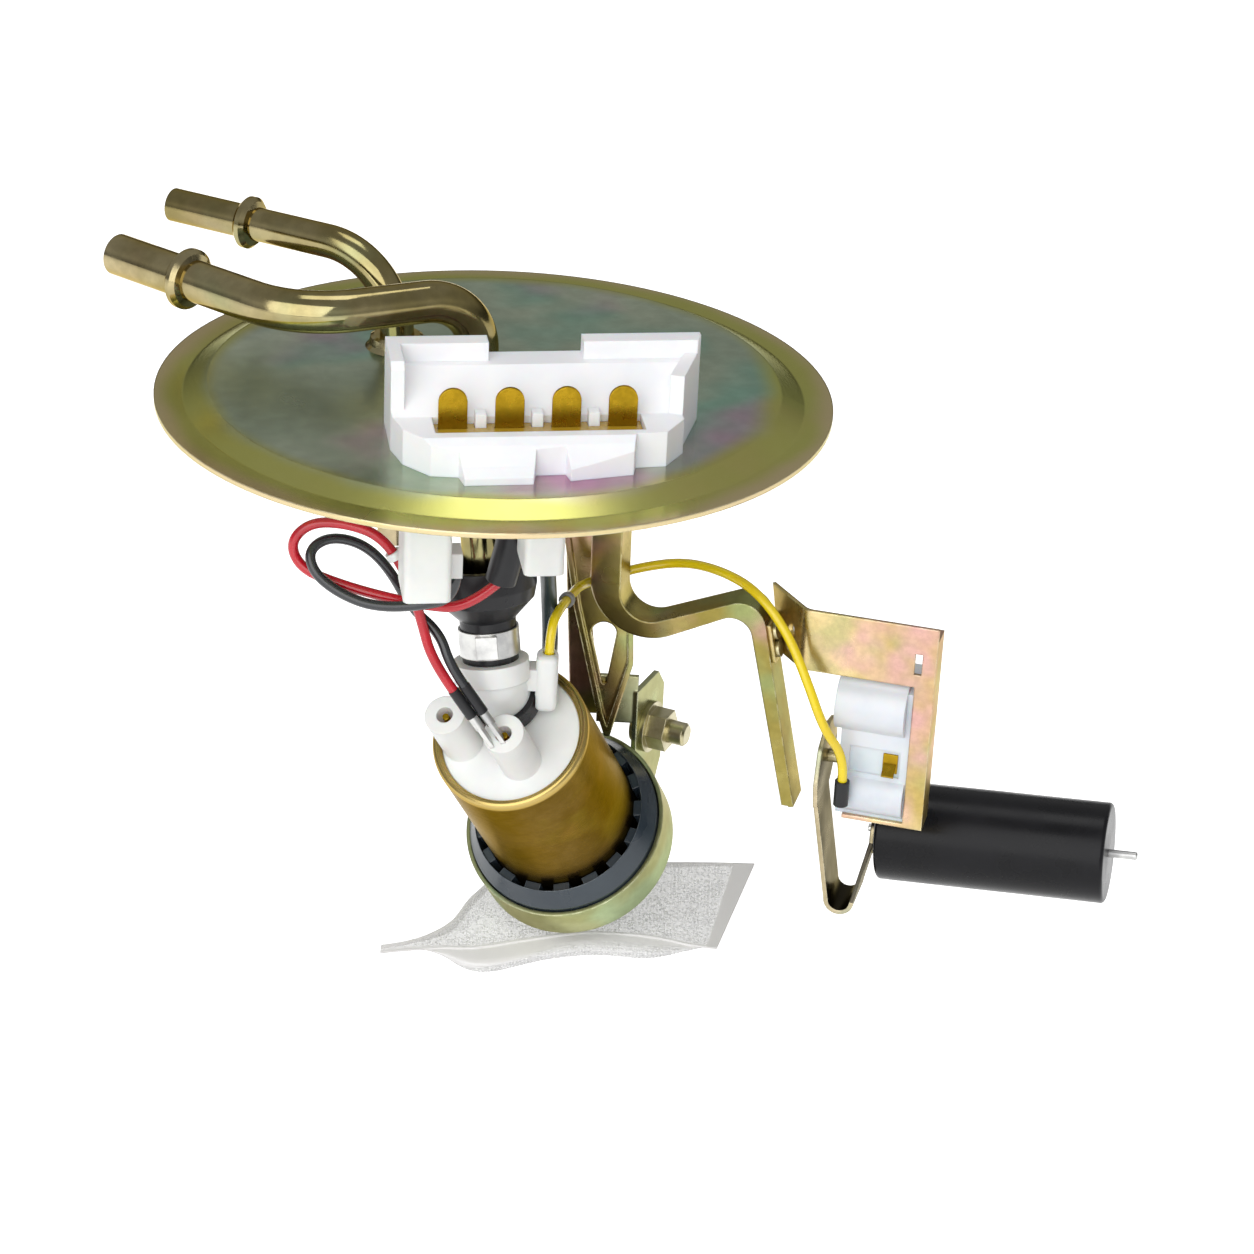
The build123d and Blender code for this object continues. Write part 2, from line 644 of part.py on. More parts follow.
def adapter_buckle():
    """Folded metal buckle on the front of the band."""
    x, y = OUTLET_AT
    front = y - ADAPTER_LOW_R - BAND_T
    plate = box_between((x - 3.3, front - 0.9, BAND_LOW + 0.4), (x + 3.3, front - 0.05, BAND_HIGH - 0.3))
    notch = Pos(x + 1.4, front - 0.9, BAND_LOW + 2.6) * Box(2.0, 0.8, 0.8)
    return in_pump(plate - notch)


nodes["hose_coupler"] = hose_coupler()
nodes["coupler_clamp"] = coupler_clamp()
nodes["outlet_adapter"] = outlet_adapter()
nodes["adapter_band"] = adapter_band()
nodes["adapter_buckle"] = adapter_buckle()


# ---------------------------------------------------------------- hanger strap and cradle bracket
STRAP_LEFT_EDGE = [(14.0, -20.0), (16.7, -49.0), (19.6, -67.0), (22.2, -78.0), (26.5, -96.5)]
STRAP_TIP = [(28.4, -102.3), (29.8, -102.3)]
STRAP_RIGHT_EDGE = [(31.8, -94.0), (34.8, -82.0), (34.4, -73.0), (28.5, -62.0)]
STRAP_TOP = (28.0, 14.0)
STRAP_FOOT = 11.0
TEARDROP = ((27.2, -74.6, 3.1), (27.8, -88.0, 0.6))


def hanger_strap():
    corners = [(STRAP_TOP[1], PLATE_RISE), *STRAP_LEFT_EDGE, *STRAP_TIP, *STRAP_RIGHT_EDGE,
               (STRAP_TOP[0], PLATE_RISE)]
    front = STRAP_FRONT - STRAP_LIP
    full = plate_xz(corners, front, STRAP_LIP + STRAP_T)
    outline = Polyline(*[(x, front, z) for x, z in corners], close=True)
    inner = offset(make_face(outline), amount=-1.4)
    strap = full - extrude(inner, amount=STRAP_LIP, dir=(0, 1, 0))
    drop = make_hull([Pos(x, z, 0) * Circle(r).edge() for x, z, r in TEARDROP])
    hole = Pos(0, STRAP_FRONT - 1, 0) * extrude(Plane.XZ * drop, amount=-4)
    foot = box_between((STRAP_TOP[1], STRAP_FRONT, PLATE_RISE - STRAP_T),
                       (STRAP_TOP[0], STRAP_FRONT + STRAP_FOOT, PLATE_RISE))
    return strap - hole + foot


def bracket_plane():
    yaw = math.radians(BRACKET_YAW)
    out = (math.cos(yaw), math.sin(yaw), 0)
    return Plane(origin=BRACKET_AT, x_dir=(-math.sin(yaw), math.cos(yaw), 0), z_dir=out)


BRACKET = bracket_plane()
BOLT_UP = BOLT_Z - BRACKET_AT[2]
BRACKET_T = 1.3
BRACKET_OUTLINE = [(0, 17.0), (13.0, 17.0), (BRACKET_W, 12.0), (BRACKET_W, -9.0), (12.0, -17.5),
                   (2.0, -17.5), (0, -12.0)]
TAB_W = 9.0
TAB_LOW = -100.0
TAB_HIGH = -87.0


def cradle_bracket():
    """Ear that carries the cradle, with a tab behind the strap."""
    outline = Polyline(*[(x, y, 0) for x, y in BRACKET_OUTLINE], close=True)
    ear = extrude(make_face(outline), amount=BRACKET_T, dir=(0, 0, 1))
    ear -= Pos(BOLT_ALONG, BOLT_UP, -1) * Cylinder(BOLT_R + HOLE_CLEARANCE, 5, align=BOTTOM)
    back = STRAP_FRONT + STRAP_T
    tab = box_between((BRACKET_AT[0] - TAB_W, back, TAB_LOW), (BRACKET_AT[0] + 1.2, back + 1.2, TAB_HIGH))
    bracket = BRACKET.location * ear + tab
    return bracket - in_pump(Pos(0, 0, -90) * Cylinder(CUP_R, 90, align=BOTTOM))


def clamp_bolt():
    head = Pos(0, 0, -2.0) * Cylinder(4.6, 2.0, align=BOTTOM)
    stud = Pos(0, 0, -2.0) * Cylinder(BOLT_R, 14.0, align=BOTTOM)
    stud = chamfer(stud.edges().sort_by(Axis.Z)[-1], 0.6)
    return BRACKET.location * Pos(BOLT_ALONG, BOLT_UP, 0) * (head + stud)


def clamp_nut():
    flange = Cylinder(6.6, 1.3, align=BOTTOM)
    hexagon = extrude(RegularPolygon(5.4, 6), amount=6.0)
    nut = flange + hexagon - Cylinder(BOLT_R, 20)
    return BRACKET.location * Pos(BOLT_ALONG, BOLT_UP, BRACKET_T) * nut


BRACE_X = (17.0, 21.0)


def rear_brace():
    """Plain strip from the flange to the cradle, behind the strap."""
    y = STRAP_FRONT + STRAP_FOOT + 0.5
    top = (PLATE_RISE, -60.0)
    points = [(BRACE_X[0], top[0]), (BRACE_X[0], top[1]), (19.5, -103.0), (27.0, -103.0),
              (BRACE_X[1] + 1.0, top[1]), (BRACE_X[1], top[0])]
    strip = plate_xz(points, y, 1.2)
    foot = box_between((BRACE_X[0], y, PLATE_RISE - 1.2), (BRACE_X[1], y + 8, PLATE_RISE))
    strip = strip + foot
    return strip - in_pump(Pos(0, 0, -90) * Cylinder(CUP_R, 90, align=BOTTOM))


nodes["hanger_strap"] = hanger_strap()
nodes["cradle_bracket"] = cradle_bracket()
nodes["clamp_bolt"] = clamp_bolt()
nodes["clamp_nut"] = clamp_nut()
nodes["rear_brace"] = rear_brace()


# ---------------------------------------------------------------- sender arm, in the sender's frame
WEB_LINE = [(-44.5, PLATE_RISE), (-44.0, -67.0), (-9.6, -52.0), (2.0, -107.0)]
WEB_RADII = [7.0, 6.0]
EDGE_LINE = [(-52.4, PLATE_RISE), (-51.3, -76.5), (-12.6, -56.3), (-1.0, -107.0)]
EDGE_RADII = [14.0, 5.0]


def in_sender(shape):
    return SENDER.location * shape


def curved_line(corners, radii):
    """A line across Y through rounded corners."""
    return FilletPolyline(*[(x, ARM_FRONT, z) for x, z in corners], radius=radii)


def sender_arm():
    """Stamped channel: a web across Y with a deep front flange on its inner side."""
    web_outer = curved_line(WEB_LINE, WEB_RADII)
    edge = curved_line(EDGE_LINE, EDGE_RADII)
    cap_top = Line(edge @ 0, web_outer @ 0)
    cap_low = Line(edge @ 1, web_outer @ 1)
    flange_face = make_face(Wire([*edge.edges(), *web_outer.edges(), cap_top.edge(), cap_low.edge()]))
    front = extrude(flange_face, amount=ARM_T, dir=(0, 1, 0))
    profile = Plane(origin=(WEB_LINE[0][0], ARM_FRONT, PLATE_RISE), z_dir=(0, 0, -1), x_dir=(0, 1, 0))
    strip = profile * Pos(ARM_WIDTH / 2, -ARM_T / 2, 0) * Rectangle(ARM_WIDTH, ARM_T)
    web = sweep(strip, web_outer)
    foot = box_between((-57.0, ARM_FRONT, PLATE_RISE - ARM_T), (-44.6, ARM_FRONT + ARM_WIDTH, PLATE_RISE))
    return front + web + foot


# ---------------------------------------------------------------- sender frame and its rivets
RIVET_R = 1.5
RIVET_HEAD_R = 2.2
RIVET_HEAD_T = 0.9
RIVET_Y = 2.0
RIVET_Z = (-62.3, -66.9)
PAD_Z = (-59.8, -69.3)
PAD_Y = (-1.0, 9.5)


def web_x(z):
    """The web's outer face at a height on the lower leg."""
    (x0, z0), (x1, z1) = WEB_LINE[2], WEB_LINE[3]
    return x0 + (z - z0) * (x1 - x0) / (z1 - z0)


def rivet_frames():
    """A frame on the web's outer face at each rivet, z along the rivet."""
    (x0, z0), (x1, z1) = WEB_LINE[2], WEB_LINE[3]
    normal = Vector(z0 - z1, 0, x1 - x0).normalized()
    return [Plane(origin=(web_x(z), RIVET_Y, z), z_dir=normal) for z in RIVET_Z]


def rivet_holes(shape):
    for frame in rivet_frames():
        shape -= frame * Cylinder(RIVET_R, 12)
    return shape


def sender_rivets():
    rivets = []
    for frame in rivet_frames():
        grip = ARM_T + FRAME_T
        shank = Pos(0, 0, -ARM_T) * Cylinder(RIVET_R, grip, align=BOTTOM)
        outer = Pos(0, 0, FRAME_T) * Cylinder(RIVET_HEAD_R, RIVET_HEAD_T, align=BOTTOM)
        inner = Pos(0, 0, -ARM_T - RIVET_HEAD_T) * Cylinder(RIVET_HEAD_R, RIVET_HEAD_T, align=BOTTOM)
        rivets.append(in_sender(frame * (shank + outer + inner)))
    return Compound(children=rivets)


def strap_ribbon():
    """The top strap; its left end curls back and lies on the arm's web."""
    front, t = FRAME_FRONT, FRAME_T
    low = STRAP_BOTTOM_Z
    turn_x, end_x = 1.5, -9.5
    outer = FilletPolyline((FRAME_RIGHT, front, low), (turn_x, front, low),
                           (end_x, PAD_Y[1] + 0.5, low), radius=4.0)
    ribbon = extrude(make_face(outer.offset_2d(t, side=Side.RIGHT)),
                     amount=STRAP_TOP_Z - low, dir=(0, 0, 1))
    corners = [(web_x(z) + shift, PAD_Y[0], z)
               for z, shift in ((PAD_Z[0], 0), (PAD_Z[0], t), (PAD_Z[1], t), (PAD_Z[1], 0))]
    pad = extrude(make_face(Polyline(*corners, close=True)), amount=PAD_Y[1] - PAD_Y[0],
                  dir=(0, 1, 0))
    return ribbon - web_block() + pad


def web_block():
    """The space to the left of the web's outer face."""
    corners = [(web_x(-40.0), 0, -40.0), (web_x(-90.0), 0, -90.0), (-60.0, 0, -90.0), (-60.0, 0, -40.0)]
    return extrude(make_face(Polyline(*corners, close=True)), amount=40, dir=(0, 1, 0), both=True)


WALL_TOP_Z = STRAP_TOP_Z - 3.5
FACE_W = 4.8
LIP_LEFT = 14.0


def sender_frame():
    """Folded sheet: top strap, right wall with a front flange, and bottom lip."""
    front, t, right, low = FRAME_FRONT, FRAME_T, FRAME_RIGHT, FRAME_BOTTOM_Z
    wall = box_between((right - t, front, low), (right, front + FRAME_DEPTH, WALL_TOP_Z))
    face = box_between((right - FACE_W, front, low), (right, front + t, WALL_TOP_Z))
    lip = box_between((LIP_LEFT, front, low), (right, front + FRAME_DEPTH, low + t))
    slot = box_between((28.6, front - 1, -66.0), (30.4, front + 3, -60.5))
    return rivet_holes(strap_ribbon() + wall + face + lip - slot)


# ---------------------------------------------------------------- sender body and float arm
BODY_RIGHT = FRAME_RIGHT - FRAME_T
BODY_FRONT = FRAME_FRONT + FRAME_T
BODY_BACK = 16.0
BODY_BOTTOM_Z = FRAME_BOTTOM_Z + FRAME_T
DRUM_R = 7.0
DRUM_Z = -77.6
FOOT_R = 5.6
CAVITY = ((15.0, 0.6, -103.0), (30.5, 13.6, -89.6))
CARD_X = 16.2
CARD_T = 0.8
WIPER_R = 6.2


def sender_body():
    """Moulded housing with a drum-shaped hood, a recess and a rounded foot."""
    body = box_between((BODY_LEFT + 1.6, BODY_FRONT, BODY_BOTTOM_Z), (BODY_RIGHT, BODY_BACK, BODY_TOP_Z))
    body -= box_between((BODY_RIGHT - 1.8, FRAME_FRONT + FRAME_DEPTH - 1.0, BODY_BOTTOM_Z - 1),
                        (BODY_RIGHT + 1, BODY_BACK + 1, BODY_TOP_Z + 1))
    drum = Pos(BODY_LEFT, BODY_FRONT + 3.4, DRUM_Z) * Rot(0, 90, 0) * Cylinder(
        DRUM_R, FRAME_RIGHT - FACE_W - 1.4 - BODY_LEFT, align=BOTTOM)
    foot = Pos(BODY_LEFT + 1.6, BODY_FRONT + 3.0, BODY_BOTTOM_Z + FOOT_R) * Rot(0, 90, 0) * Cylinder(
        FOOT_R, FRAME_RIGHT - FACE_W - 0.4 - BODY_LEFT - 1.6, align=BOTTOM)
    recess = box_between((BODY_LEFT + 4.0, BODY_FRONT - 4, -95.0), (FRAME_RIGHT - FACE_W - 2, BODY_FRONT + 0.8, -88.0))
    cavity = box_between(*CAVITY)
    shaft = Pos(0, PIVOT_Y, PIVOT_Z) * Rot(0, 90, 0) * Cylinder(PIVOT_R + 0.05, BODY_RIGHT - 2.9, align=BOTTOM)
    return body + drum + foot - recess - cavity - shaft


def resistor_card():
    (x0, y0, z0), (x1, y1, z1) = CAVITY
    card = box_between((CARD_X - CARD_T, y0 + 0.1, z0 + 0.1), (CARD_X, y1 - 0.1, z1 - 0.1))
    return card - Pos(0, PIVOT_Y, PIVOT_Z) * Rot(0, 90, 0) * Cylinder(3.4, 40, align=BOTTOM)


def sender_wiper():
    """Contact finger on the shaft, with its tip on the card."""
    axis = Pos(CARD_X + 1.0, PIVOT_Y, PIVOT_Z) * Rot(0, 90, 0)
    hub = axis * ring(3.0, PIVOT_R, 2.5)
    finger = box_between((CARD_X + 1.0, PIVOT_Y - 1.0, PIVOT_Z + PIVOT_R + 0.4),
                         (CARD_X + 1.8, PIVOT_Y + 1.0, PIVOT_Z + WIPER_R))
    tip = box_between((CARD_X + 0.05, PIVOT_Y - 0.8, PIVOT_Z + WIPER_R - 1.6),
                      (CARD_X + 1.0, PIVOT_Y + 0.8, PIVOT_Z + WIPER_R))
    return hub + finger + tip


def sender_pivot():
    start = FLOAT_ARM_X - 1.4
    end = BODY_RIGHT - 3.0
    shaft = Pos(start, PIVOT_Y, PIVOT_Z) * Rot(0, 90, 0) * Cylinder(PIVOT_R, end - start, align=BOTTOM)
    head = Pos(start, PIVOT_Y, PIVOT_Z) * Rot(0, 90, 0) * Cylinder(PIVOT_R + 1.2, 1.4, align=BOTTOM)
    return shaft + head


def sender_contact():
    """Brass tab that lies in the recess and bends out past the frame."""
    x0 = FRAME_RIGHT - FACE_W - 6.2
    y0 = BODY_FRONT + 0.8
    tab = box_between((x0, y0 - 0.5, -94.0), (x0 + 3.6, y0, -89.0))
    tongue = Pos(x0 + 1.8, y0 - 2.0, -92.6) * Rot(35, 0, 0) * Box(3.0, 3.6, 0.5)
    return tab + tongue


LEG_W = 13.0
LEG_TOP = (-4.0, -104.0)
FOLD_Y = 8.0
FOLD_Z = -137.0
FOLD_X = (9.4, 16.0)
TIP_X = 18.4
HEAD_OUTLINE = [(LEG_TOP[0], LEG_TOP[1] - 1.0), (-6.0, -98.0), (-3.4, -89.4), (4.6, -85.8), (12.8, -87.6),
                (16.0, -94.6), (12.6, -102.0), (LEG_TOP[0] + LEG_W, LEG_TOP[1] - 1.0)]


def slab(low, high):
    """A leaning strip between two level lines, each given as its (x, y, z) corner."""
    faces = []
    for x, y, z in (low, high):
        faces.append(Pos(x + FLOAT_ARM_T / 2, y + LEG_W / 2, z) * Rectangle(FLOAT_ARM_T, LEG_W))
    return loft(faces)


def arm_head():
    """Leaf-shaped plate on the shaft, as wide at its foot as the leg below."""
    outline = Polyline(*[(FLOAT_ARM_X, y, z) for y, z in HEAD_OUTLINE], close=True)
    head = extrude(make_face(outline), amount=FLOAT_ARM_T, dir=(1, 0, 0))
    corners = [e for e in head.edges().filter_by(Axis.X) if e.center().Z > LEG_TOP[1]]
    return fillet(corners, 3.0)


def float_arm():
    """Folded strip: a head on the shaft, a leg down, a fold, and a leg up to the float."""
    x_in, x_out = FOLD_X
    leg = slab((x_in, FOLD_Y, FOLD_Z), (FLOAT_ARM_X, *LEG_TOP))
    outer = (x_out + FLOAT_ARM_T - x_in) / 2
    fold = Pos(x_in + outer, FOLD_Y, FOLD_Z) * Rot(-90, 0, 0) * ring(outer, outer - FLOAT_ARM_T, LEG_W)
    fold -= box_between((0, -20, FOLD_Z), (40, 40, FOLD_Z + 20))
    y, z = FLOAT_LEFT[1:]
    rise = slab((x_out, FOLD_Y, FOLD_Z), (TIP_X, y - LEG_W / 2, z - 1.0))
    tip = Pos(TIP_X, y, z) * Rot(0, 90, 0) * Cylinder(LEG_W / 2, FLOAT_ARM_T, align=BOTTOM)
    shaft_hole = Pos(0, PIVOT_Y, PIVOT_Z) * Rot(0, 90, 0) * Cylinder(PIVOT_R, 12, align=BOTTOM)
    arm = arm_head() + leg + fold + rise + tip - shaft_hole
    return arm - FLOAT_FRAME * Pos(0, 0, -20) * Cylinder(FLOAT_PIN_R, 40, align=BOTTOM)


FLOAT_TILT = 4.0
FLOAT_FRAME = Pos(*FLOAT_LEFT) * Rot(0, 90 - FLOAT_TILT, 0)
FLOAT_EDGE = 1.0


def float_body():
    body = Cylinder(FLOAT_R, FLOAT_LEN, align=BOTTOM)
    body = fillet(body.edges().filter_by(GeomType.CIRCLE), FLOAT_EDGE)
    return FLOAT_FRAME * (body - Cylinder(FLOAT_PIN_R + 0.05, 3 * FLOAT_LEN))


def float_pin():
    back = 3.4
    pin = Pos(0, 0, -back) * Cylinder(FLOAT_PIN_R, FLOAT_LEN + FLOAT_PIN_OUT + back, align=BOTTOM)
    pin = chamfer(pin.edges().sort_by(Axis.Z)[-1], 0.3)
    return FLOAT_FRAME * pin


nodes["sender_arm"] = in_sender(rivet_holes(sender_arm()))
nodes["sender_rivets"] = sender_rivets()
nodes["sender_frame"] = in_sender(sender_frame())
nodes["sender_body"] = in_sender(sender_body())
nodes["resistor_card"] = in_sender(resistor_card())
nodes["sender_wiper"] = in_sender(sender_wiper())
nodes["sender_pivot"] = in_sender(sender_pivot())
nodes["sender_contact"] = in_sender(sender_contact())
nodes["float_arm"] = in_sender(float_arm())
nodes["float"] = in_sender(float_body())
nodes["float_pin"] = in_sender(float_pin())

# ---------------------------------------------------------------- inlet filter
SOCK_CORNERS = [(-25.0, 3.0), (12.0, -3.5), (40.0, 1.0), (60.0, 11.5), (69.5, 54.0), (45.0, 50.0), (-2.0, 42.0)]
STUB_LOW = PUMP.from_local_coords(Vector(*INLET_AT, INLET_TIP - 2.0))
SOCK_TOP = round(STUB_LOW.Z - NECK_DROP, 1)
NECK_R = INLET_R + 1.4
NECK_SINK = 1.5


def filter_sock():
    """Flat filter bag with a round seat for the neck in its top."""
    outline = Polyline(*[(x, y, SOCK_TOP - SOCK_T) for x, y in SOCK_CORNERS], close=True)
    pad = extrude(make_face(outline), amount=SOCK_T, dir=(0, 0, 1))
    pad = fillet(pad.edges().filter_by(Axis.Z), 3.0)
    seat = Pos(STUB_LOW.X, STUB_LOW.Y, SOCK_TOP - NECK_SINK - 0.05)
    return pad - seat * Cylinder(NECK_R + 0.1, 5, align=BOTTOM)


def sock_neck():
    """Moulded elbow from the pump's inlet stub down to the filter."""
    top = PUMP.from_local_coords(Vector(*INLET_AT, INLET_TIP + 6.5))
    drop = Vector(STUB_LOW.X, STUB_LOW.Y, SOCK_TOP - NECK_SINK)
    neck = rod(top, STUB_LOW, NECK_R) + Pos(*STUB_LOW) * Sphere(NECK_R) + rod(drop, STUB_LOW, NECK_R)
    neck -= Pos(0, 0, SOCK_TOP - NECK_SINK) * Cylinder(200, 60, align=(Align.CENTER, Align.CENTER, Align.MAX))
    deep = PUMP.from_local_coords(Vector(*INLET_AT, INLET_TIP - 0.1))
    above = PUMP.from_local_coords(Vector(*INLET_AT, INLET_TIP + 14.0))
    return neck - rod(above, deep, INLET_R + 0.02)


nodes["filter_sock"] = filter_sock()
nodes["sock_neck"] = sock_neck()


# ---------------------------------------------------------------- wires
TERMINAL_UP = Vector(-0.56, 0.0, 0.83).normalized()
TERMINAL_LEN = 8.0
BOOT_LEN = 8.0
BOOT_R = 1.32
RED_TIP = PUMP.from_local_coords(Vector(0.0, -9.0, TOWER_H))
BLACK_TIP = PUMP.from_local_coords(Vector(2.6, -8.0, TOWER_H))
RED_END = RED_TIP + TERMINAL_UP * (TERMINAL_LEN + BOOT_LEN)
BLACK_END = BLACK_TIP + TERMINAL_UP * (TERMINAL_LEN + BOOT_LEN)
SLEEVE_FOOT = (3.7, -26.0, -34.3)

SLEEVE_ROUTE = [(7.0, -25.8, PLATE_RISE - 0.05), (7.0, -25.8, -8.0), (6.3, -25.9, -23.0), SLEEVE_FOOT]
RED_ROUTE = [SLEEVE_FOOT, (-3.5, -28.6, -40.7), (-14.0, -30.0, -39.5), (-24.0, -30.0, -37.6),
             (-33.0, -28.5, -35.9), (-41.5, -27.0, -33.4), (-44.3, -26.0, -27.4), (-39.5, -26.0, -22.0),
             (-31.0, -26.5, -21.7), (-23.0, -27.3, -24.3), (-17.2, -27.5, -33.7), (-14.0, -27.8, -44.6),
             tuple(RED_END + TERMINAL_UP * 9.0), tuple(RED_END)]
TAB_FOOT = (-5.7, -37.8, -27.05)
BLACK_ROUTE = [TAB_FOOT, (-5.8, -37.8, -33.4), (-13.5, -35.6, -37.0), (-24.0, -33.6, -38.9),
               (-32.0, -32.0, -36.9), (-38.2, -30.8, -32.6), (-39.8, -28.4, -28.0), (-35.4, -25.0, -25.9),
               (-28.2, -23.8, -27.6), (-22.2, -23.9, -33.0), (-16.5, -24.3, -43.4), (-9.8, -26.2, -48.4),
               tuple(BLACK_END + TERMINAL_UP * 6.0), tuple(BLACK_END)]
PLUG_TOP = SENDER.from_local_coords(Vector(BODY_LEFT + 3.6, BODY_FRONT - 4.6, -95.5))
PLUG_LEN = 6.5
YELLOW_FOOT = (EAR_AT[0], EAR_AT[1], EAR_TOP - EAR_HOLE_DEPTH)
YELLOW_ROUTE = [YELLOW_FOOT, (*EAR_AT, -52.5), (17.2, -2.5, -51.6), (19.4, 9.5, -54.0), (21.3, 21.0, -57.0),
                (28.0, 27.3, -57.4), (35.5, 28.6, -55.2), (45.5, 26.8, -52.3), (54.5, 18.6, -50.2),
                (63.0, 9.5, -50.6), (70.6, 4.0, -58.2), (76.2, -1.0, -69.0), (80.8, -3.2, -80.5),
                tuple(PLUG_TOP + Vector(0, 0, 6.5)), tuple(PLUG_TOP)]
HARNESS_R = 1.9
HARNESS_EXIT = CONNECTOR.from_local_coords(Vector(8.0, LOWER_BACK + 0.05, -19.0))
HARNESS_ROUTE = [tuple(HARNESS_EXIT), tuple(CONNECTOR.from_local_coords(Vector(8.0, LOWER_BACK + 6.5, -19.0))),
                 (13.6, -17.0, -30.5), (13.9, -7.5, -41.0), (14.2, -1.2, -50.5), (EAR_AT[0], -1.0, -61.5),
                 (EAR_AT[0], EAR_AT[1] + 3.25, -61.5)]


def on_tower(shape):
    """Cut a piece at the flat top of the pump's wire tower."""
    return shape - in_pump(Pos(0, 0, TOWER_H + 0.03) * Cylinder(60, 60, align=(Align.CENTER, Align.CENTER, Align.MAX)))


def terminal(tip):
    """Crimped terminal: a flat tongue on the tower and a round barrel."""
    frame = Plane(origin=tip, z_dir=TERMINAL_UP, x_dir=(0, 1, 0))
    tongue = Pos(0, 0, -2.0) * Box(2.4, 1.0, 7.0, align=BOTTOM)
    barrel = Pos(0, 0, 4.4) * Cylinder(1.1, TERMINAL_LEN - 4.4, align=BOTTOM)
    return on_tower(frame.location * (tongue + barrel))


def wire_terminals():
    return Compound(children=[terminal(RED_TIP), terminal(BLACK_TIP)])


def wire_boots():
    boots = []
    for end in (RED_END, BLACK_END):
        boots.append(rod(end - TERMINAL_UP * BOOT_LEN, end, BOOT_R))
    return Compound(children=boots)


def tie(route, index, wire_r, share):
    """A small band round a wire, part of the way along one straight run."""
    start, end = Vector(route[index]), Vector(route[index + 1])
    middle = start + (end - start) * share
    return Plane(origin=middle, z_dir=end - start).location * band(wire_r + 0.7, wire_r + 0.06, -0.9, 0.9)


def yellow_end():
    """Black plug of the yellow wire, in front of the sender's foot."""
    return rod(PLUG_TOP - Vector(0, 0, PLUG_LEN), PLUG_TOP, 1.8)


def wire_sleeve():
    """Sleeve that leads the red wire from the flange, open where the wire leaves it."""
    start, after = Vector(RED_ROUTE[0]), Vector(RED_ROUTE[1])
    along = (after - start).normalized()
    return cord("wire_sleeve", SLEEVE_ROUTE, SLEEVE_R) - rod(start - along, start + along * 4, WIRE_R + 0.05)


nodes["wire_sleeve"] = wire_sleeve()
nodes["red_wire"] = cord("red_wire", RED_ROUTE, WIRE_R)
nodes["black_wire"] = cord("black_wire", BLACK_ROUTE, WIRE_R)
nodes["yellow_wire"] = cord("yellow_wire", YELLOW_ROUTE, YELLOW_R)
nodes["sender_harness"] = cord("sender_harness", HARNESS_ROUTE, HARNESS_R)
nodes["wire_terminals"] = wire_terminals()
nodes["wire_boots"] = wire_boots()
nodes["white_tie"] = tie(RED_ROUTE, 9, WIRE_R, 0.45)
nodes["grey_tie"] = tie(YELLOW_ROUTE, 2, YELLOW_R, 0.5)
nodes["yellow_end"] = yellow_end()

os.makedirs("parts", exist_ok=True)
for node_name, shape in nodes.items():
    shape.label = node_name
    export_step(shape, f"parts/{node_name}.step")
    print(node_name, round(shape.volume, 1))
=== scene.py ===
"""Looks of a fuel pump module: finishes, wires, filter bag, light and camera."""
from __future__ import annotations

import logging
import math
from dataclasses import dataclass, field
from typing import ClassVar

import bmesh
import bpy
from mathutils import Matrix, Vector


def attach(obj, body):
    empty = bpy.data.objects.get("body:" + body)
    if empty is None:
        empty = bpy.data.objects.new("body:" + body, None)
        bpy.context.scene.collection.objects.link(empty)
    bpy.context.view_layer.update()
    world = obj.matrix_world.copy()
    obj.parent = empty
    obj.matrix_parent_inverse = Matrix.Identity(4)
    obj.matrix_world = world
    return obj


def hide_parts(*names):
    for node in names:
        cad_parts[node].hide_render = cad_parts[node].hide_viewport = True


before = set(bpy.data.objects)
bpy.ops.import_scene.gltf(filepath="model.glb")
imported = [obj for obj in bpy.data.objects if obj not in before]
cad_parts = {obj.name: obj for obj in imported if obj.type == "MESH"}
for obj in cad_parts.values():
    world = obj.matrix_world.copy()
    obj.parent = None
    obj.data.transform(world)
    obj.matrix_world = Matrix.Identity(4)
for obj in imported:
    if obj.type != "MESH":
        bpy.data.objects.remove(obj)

LOG = logging.getLogger("pump_module")
MM = 0.001
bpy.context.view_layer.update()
MODULE_BODY = "module"

Colour = tuple[float, float, float]
Point = tuple[float, float, float]
Route = tuple[Point, ...]
Socket = bpy.types.NodeSocket
Node = bpy.types.Node
Material = bpy.types.Material


def metres(point: Point) -> Vector:
    """Turns a point in millimetres into a vector in metres.

    Args:
        point: The point in millimetres.

    Returns:
        The vector in metres.
    """
    return Vector(point) * MM


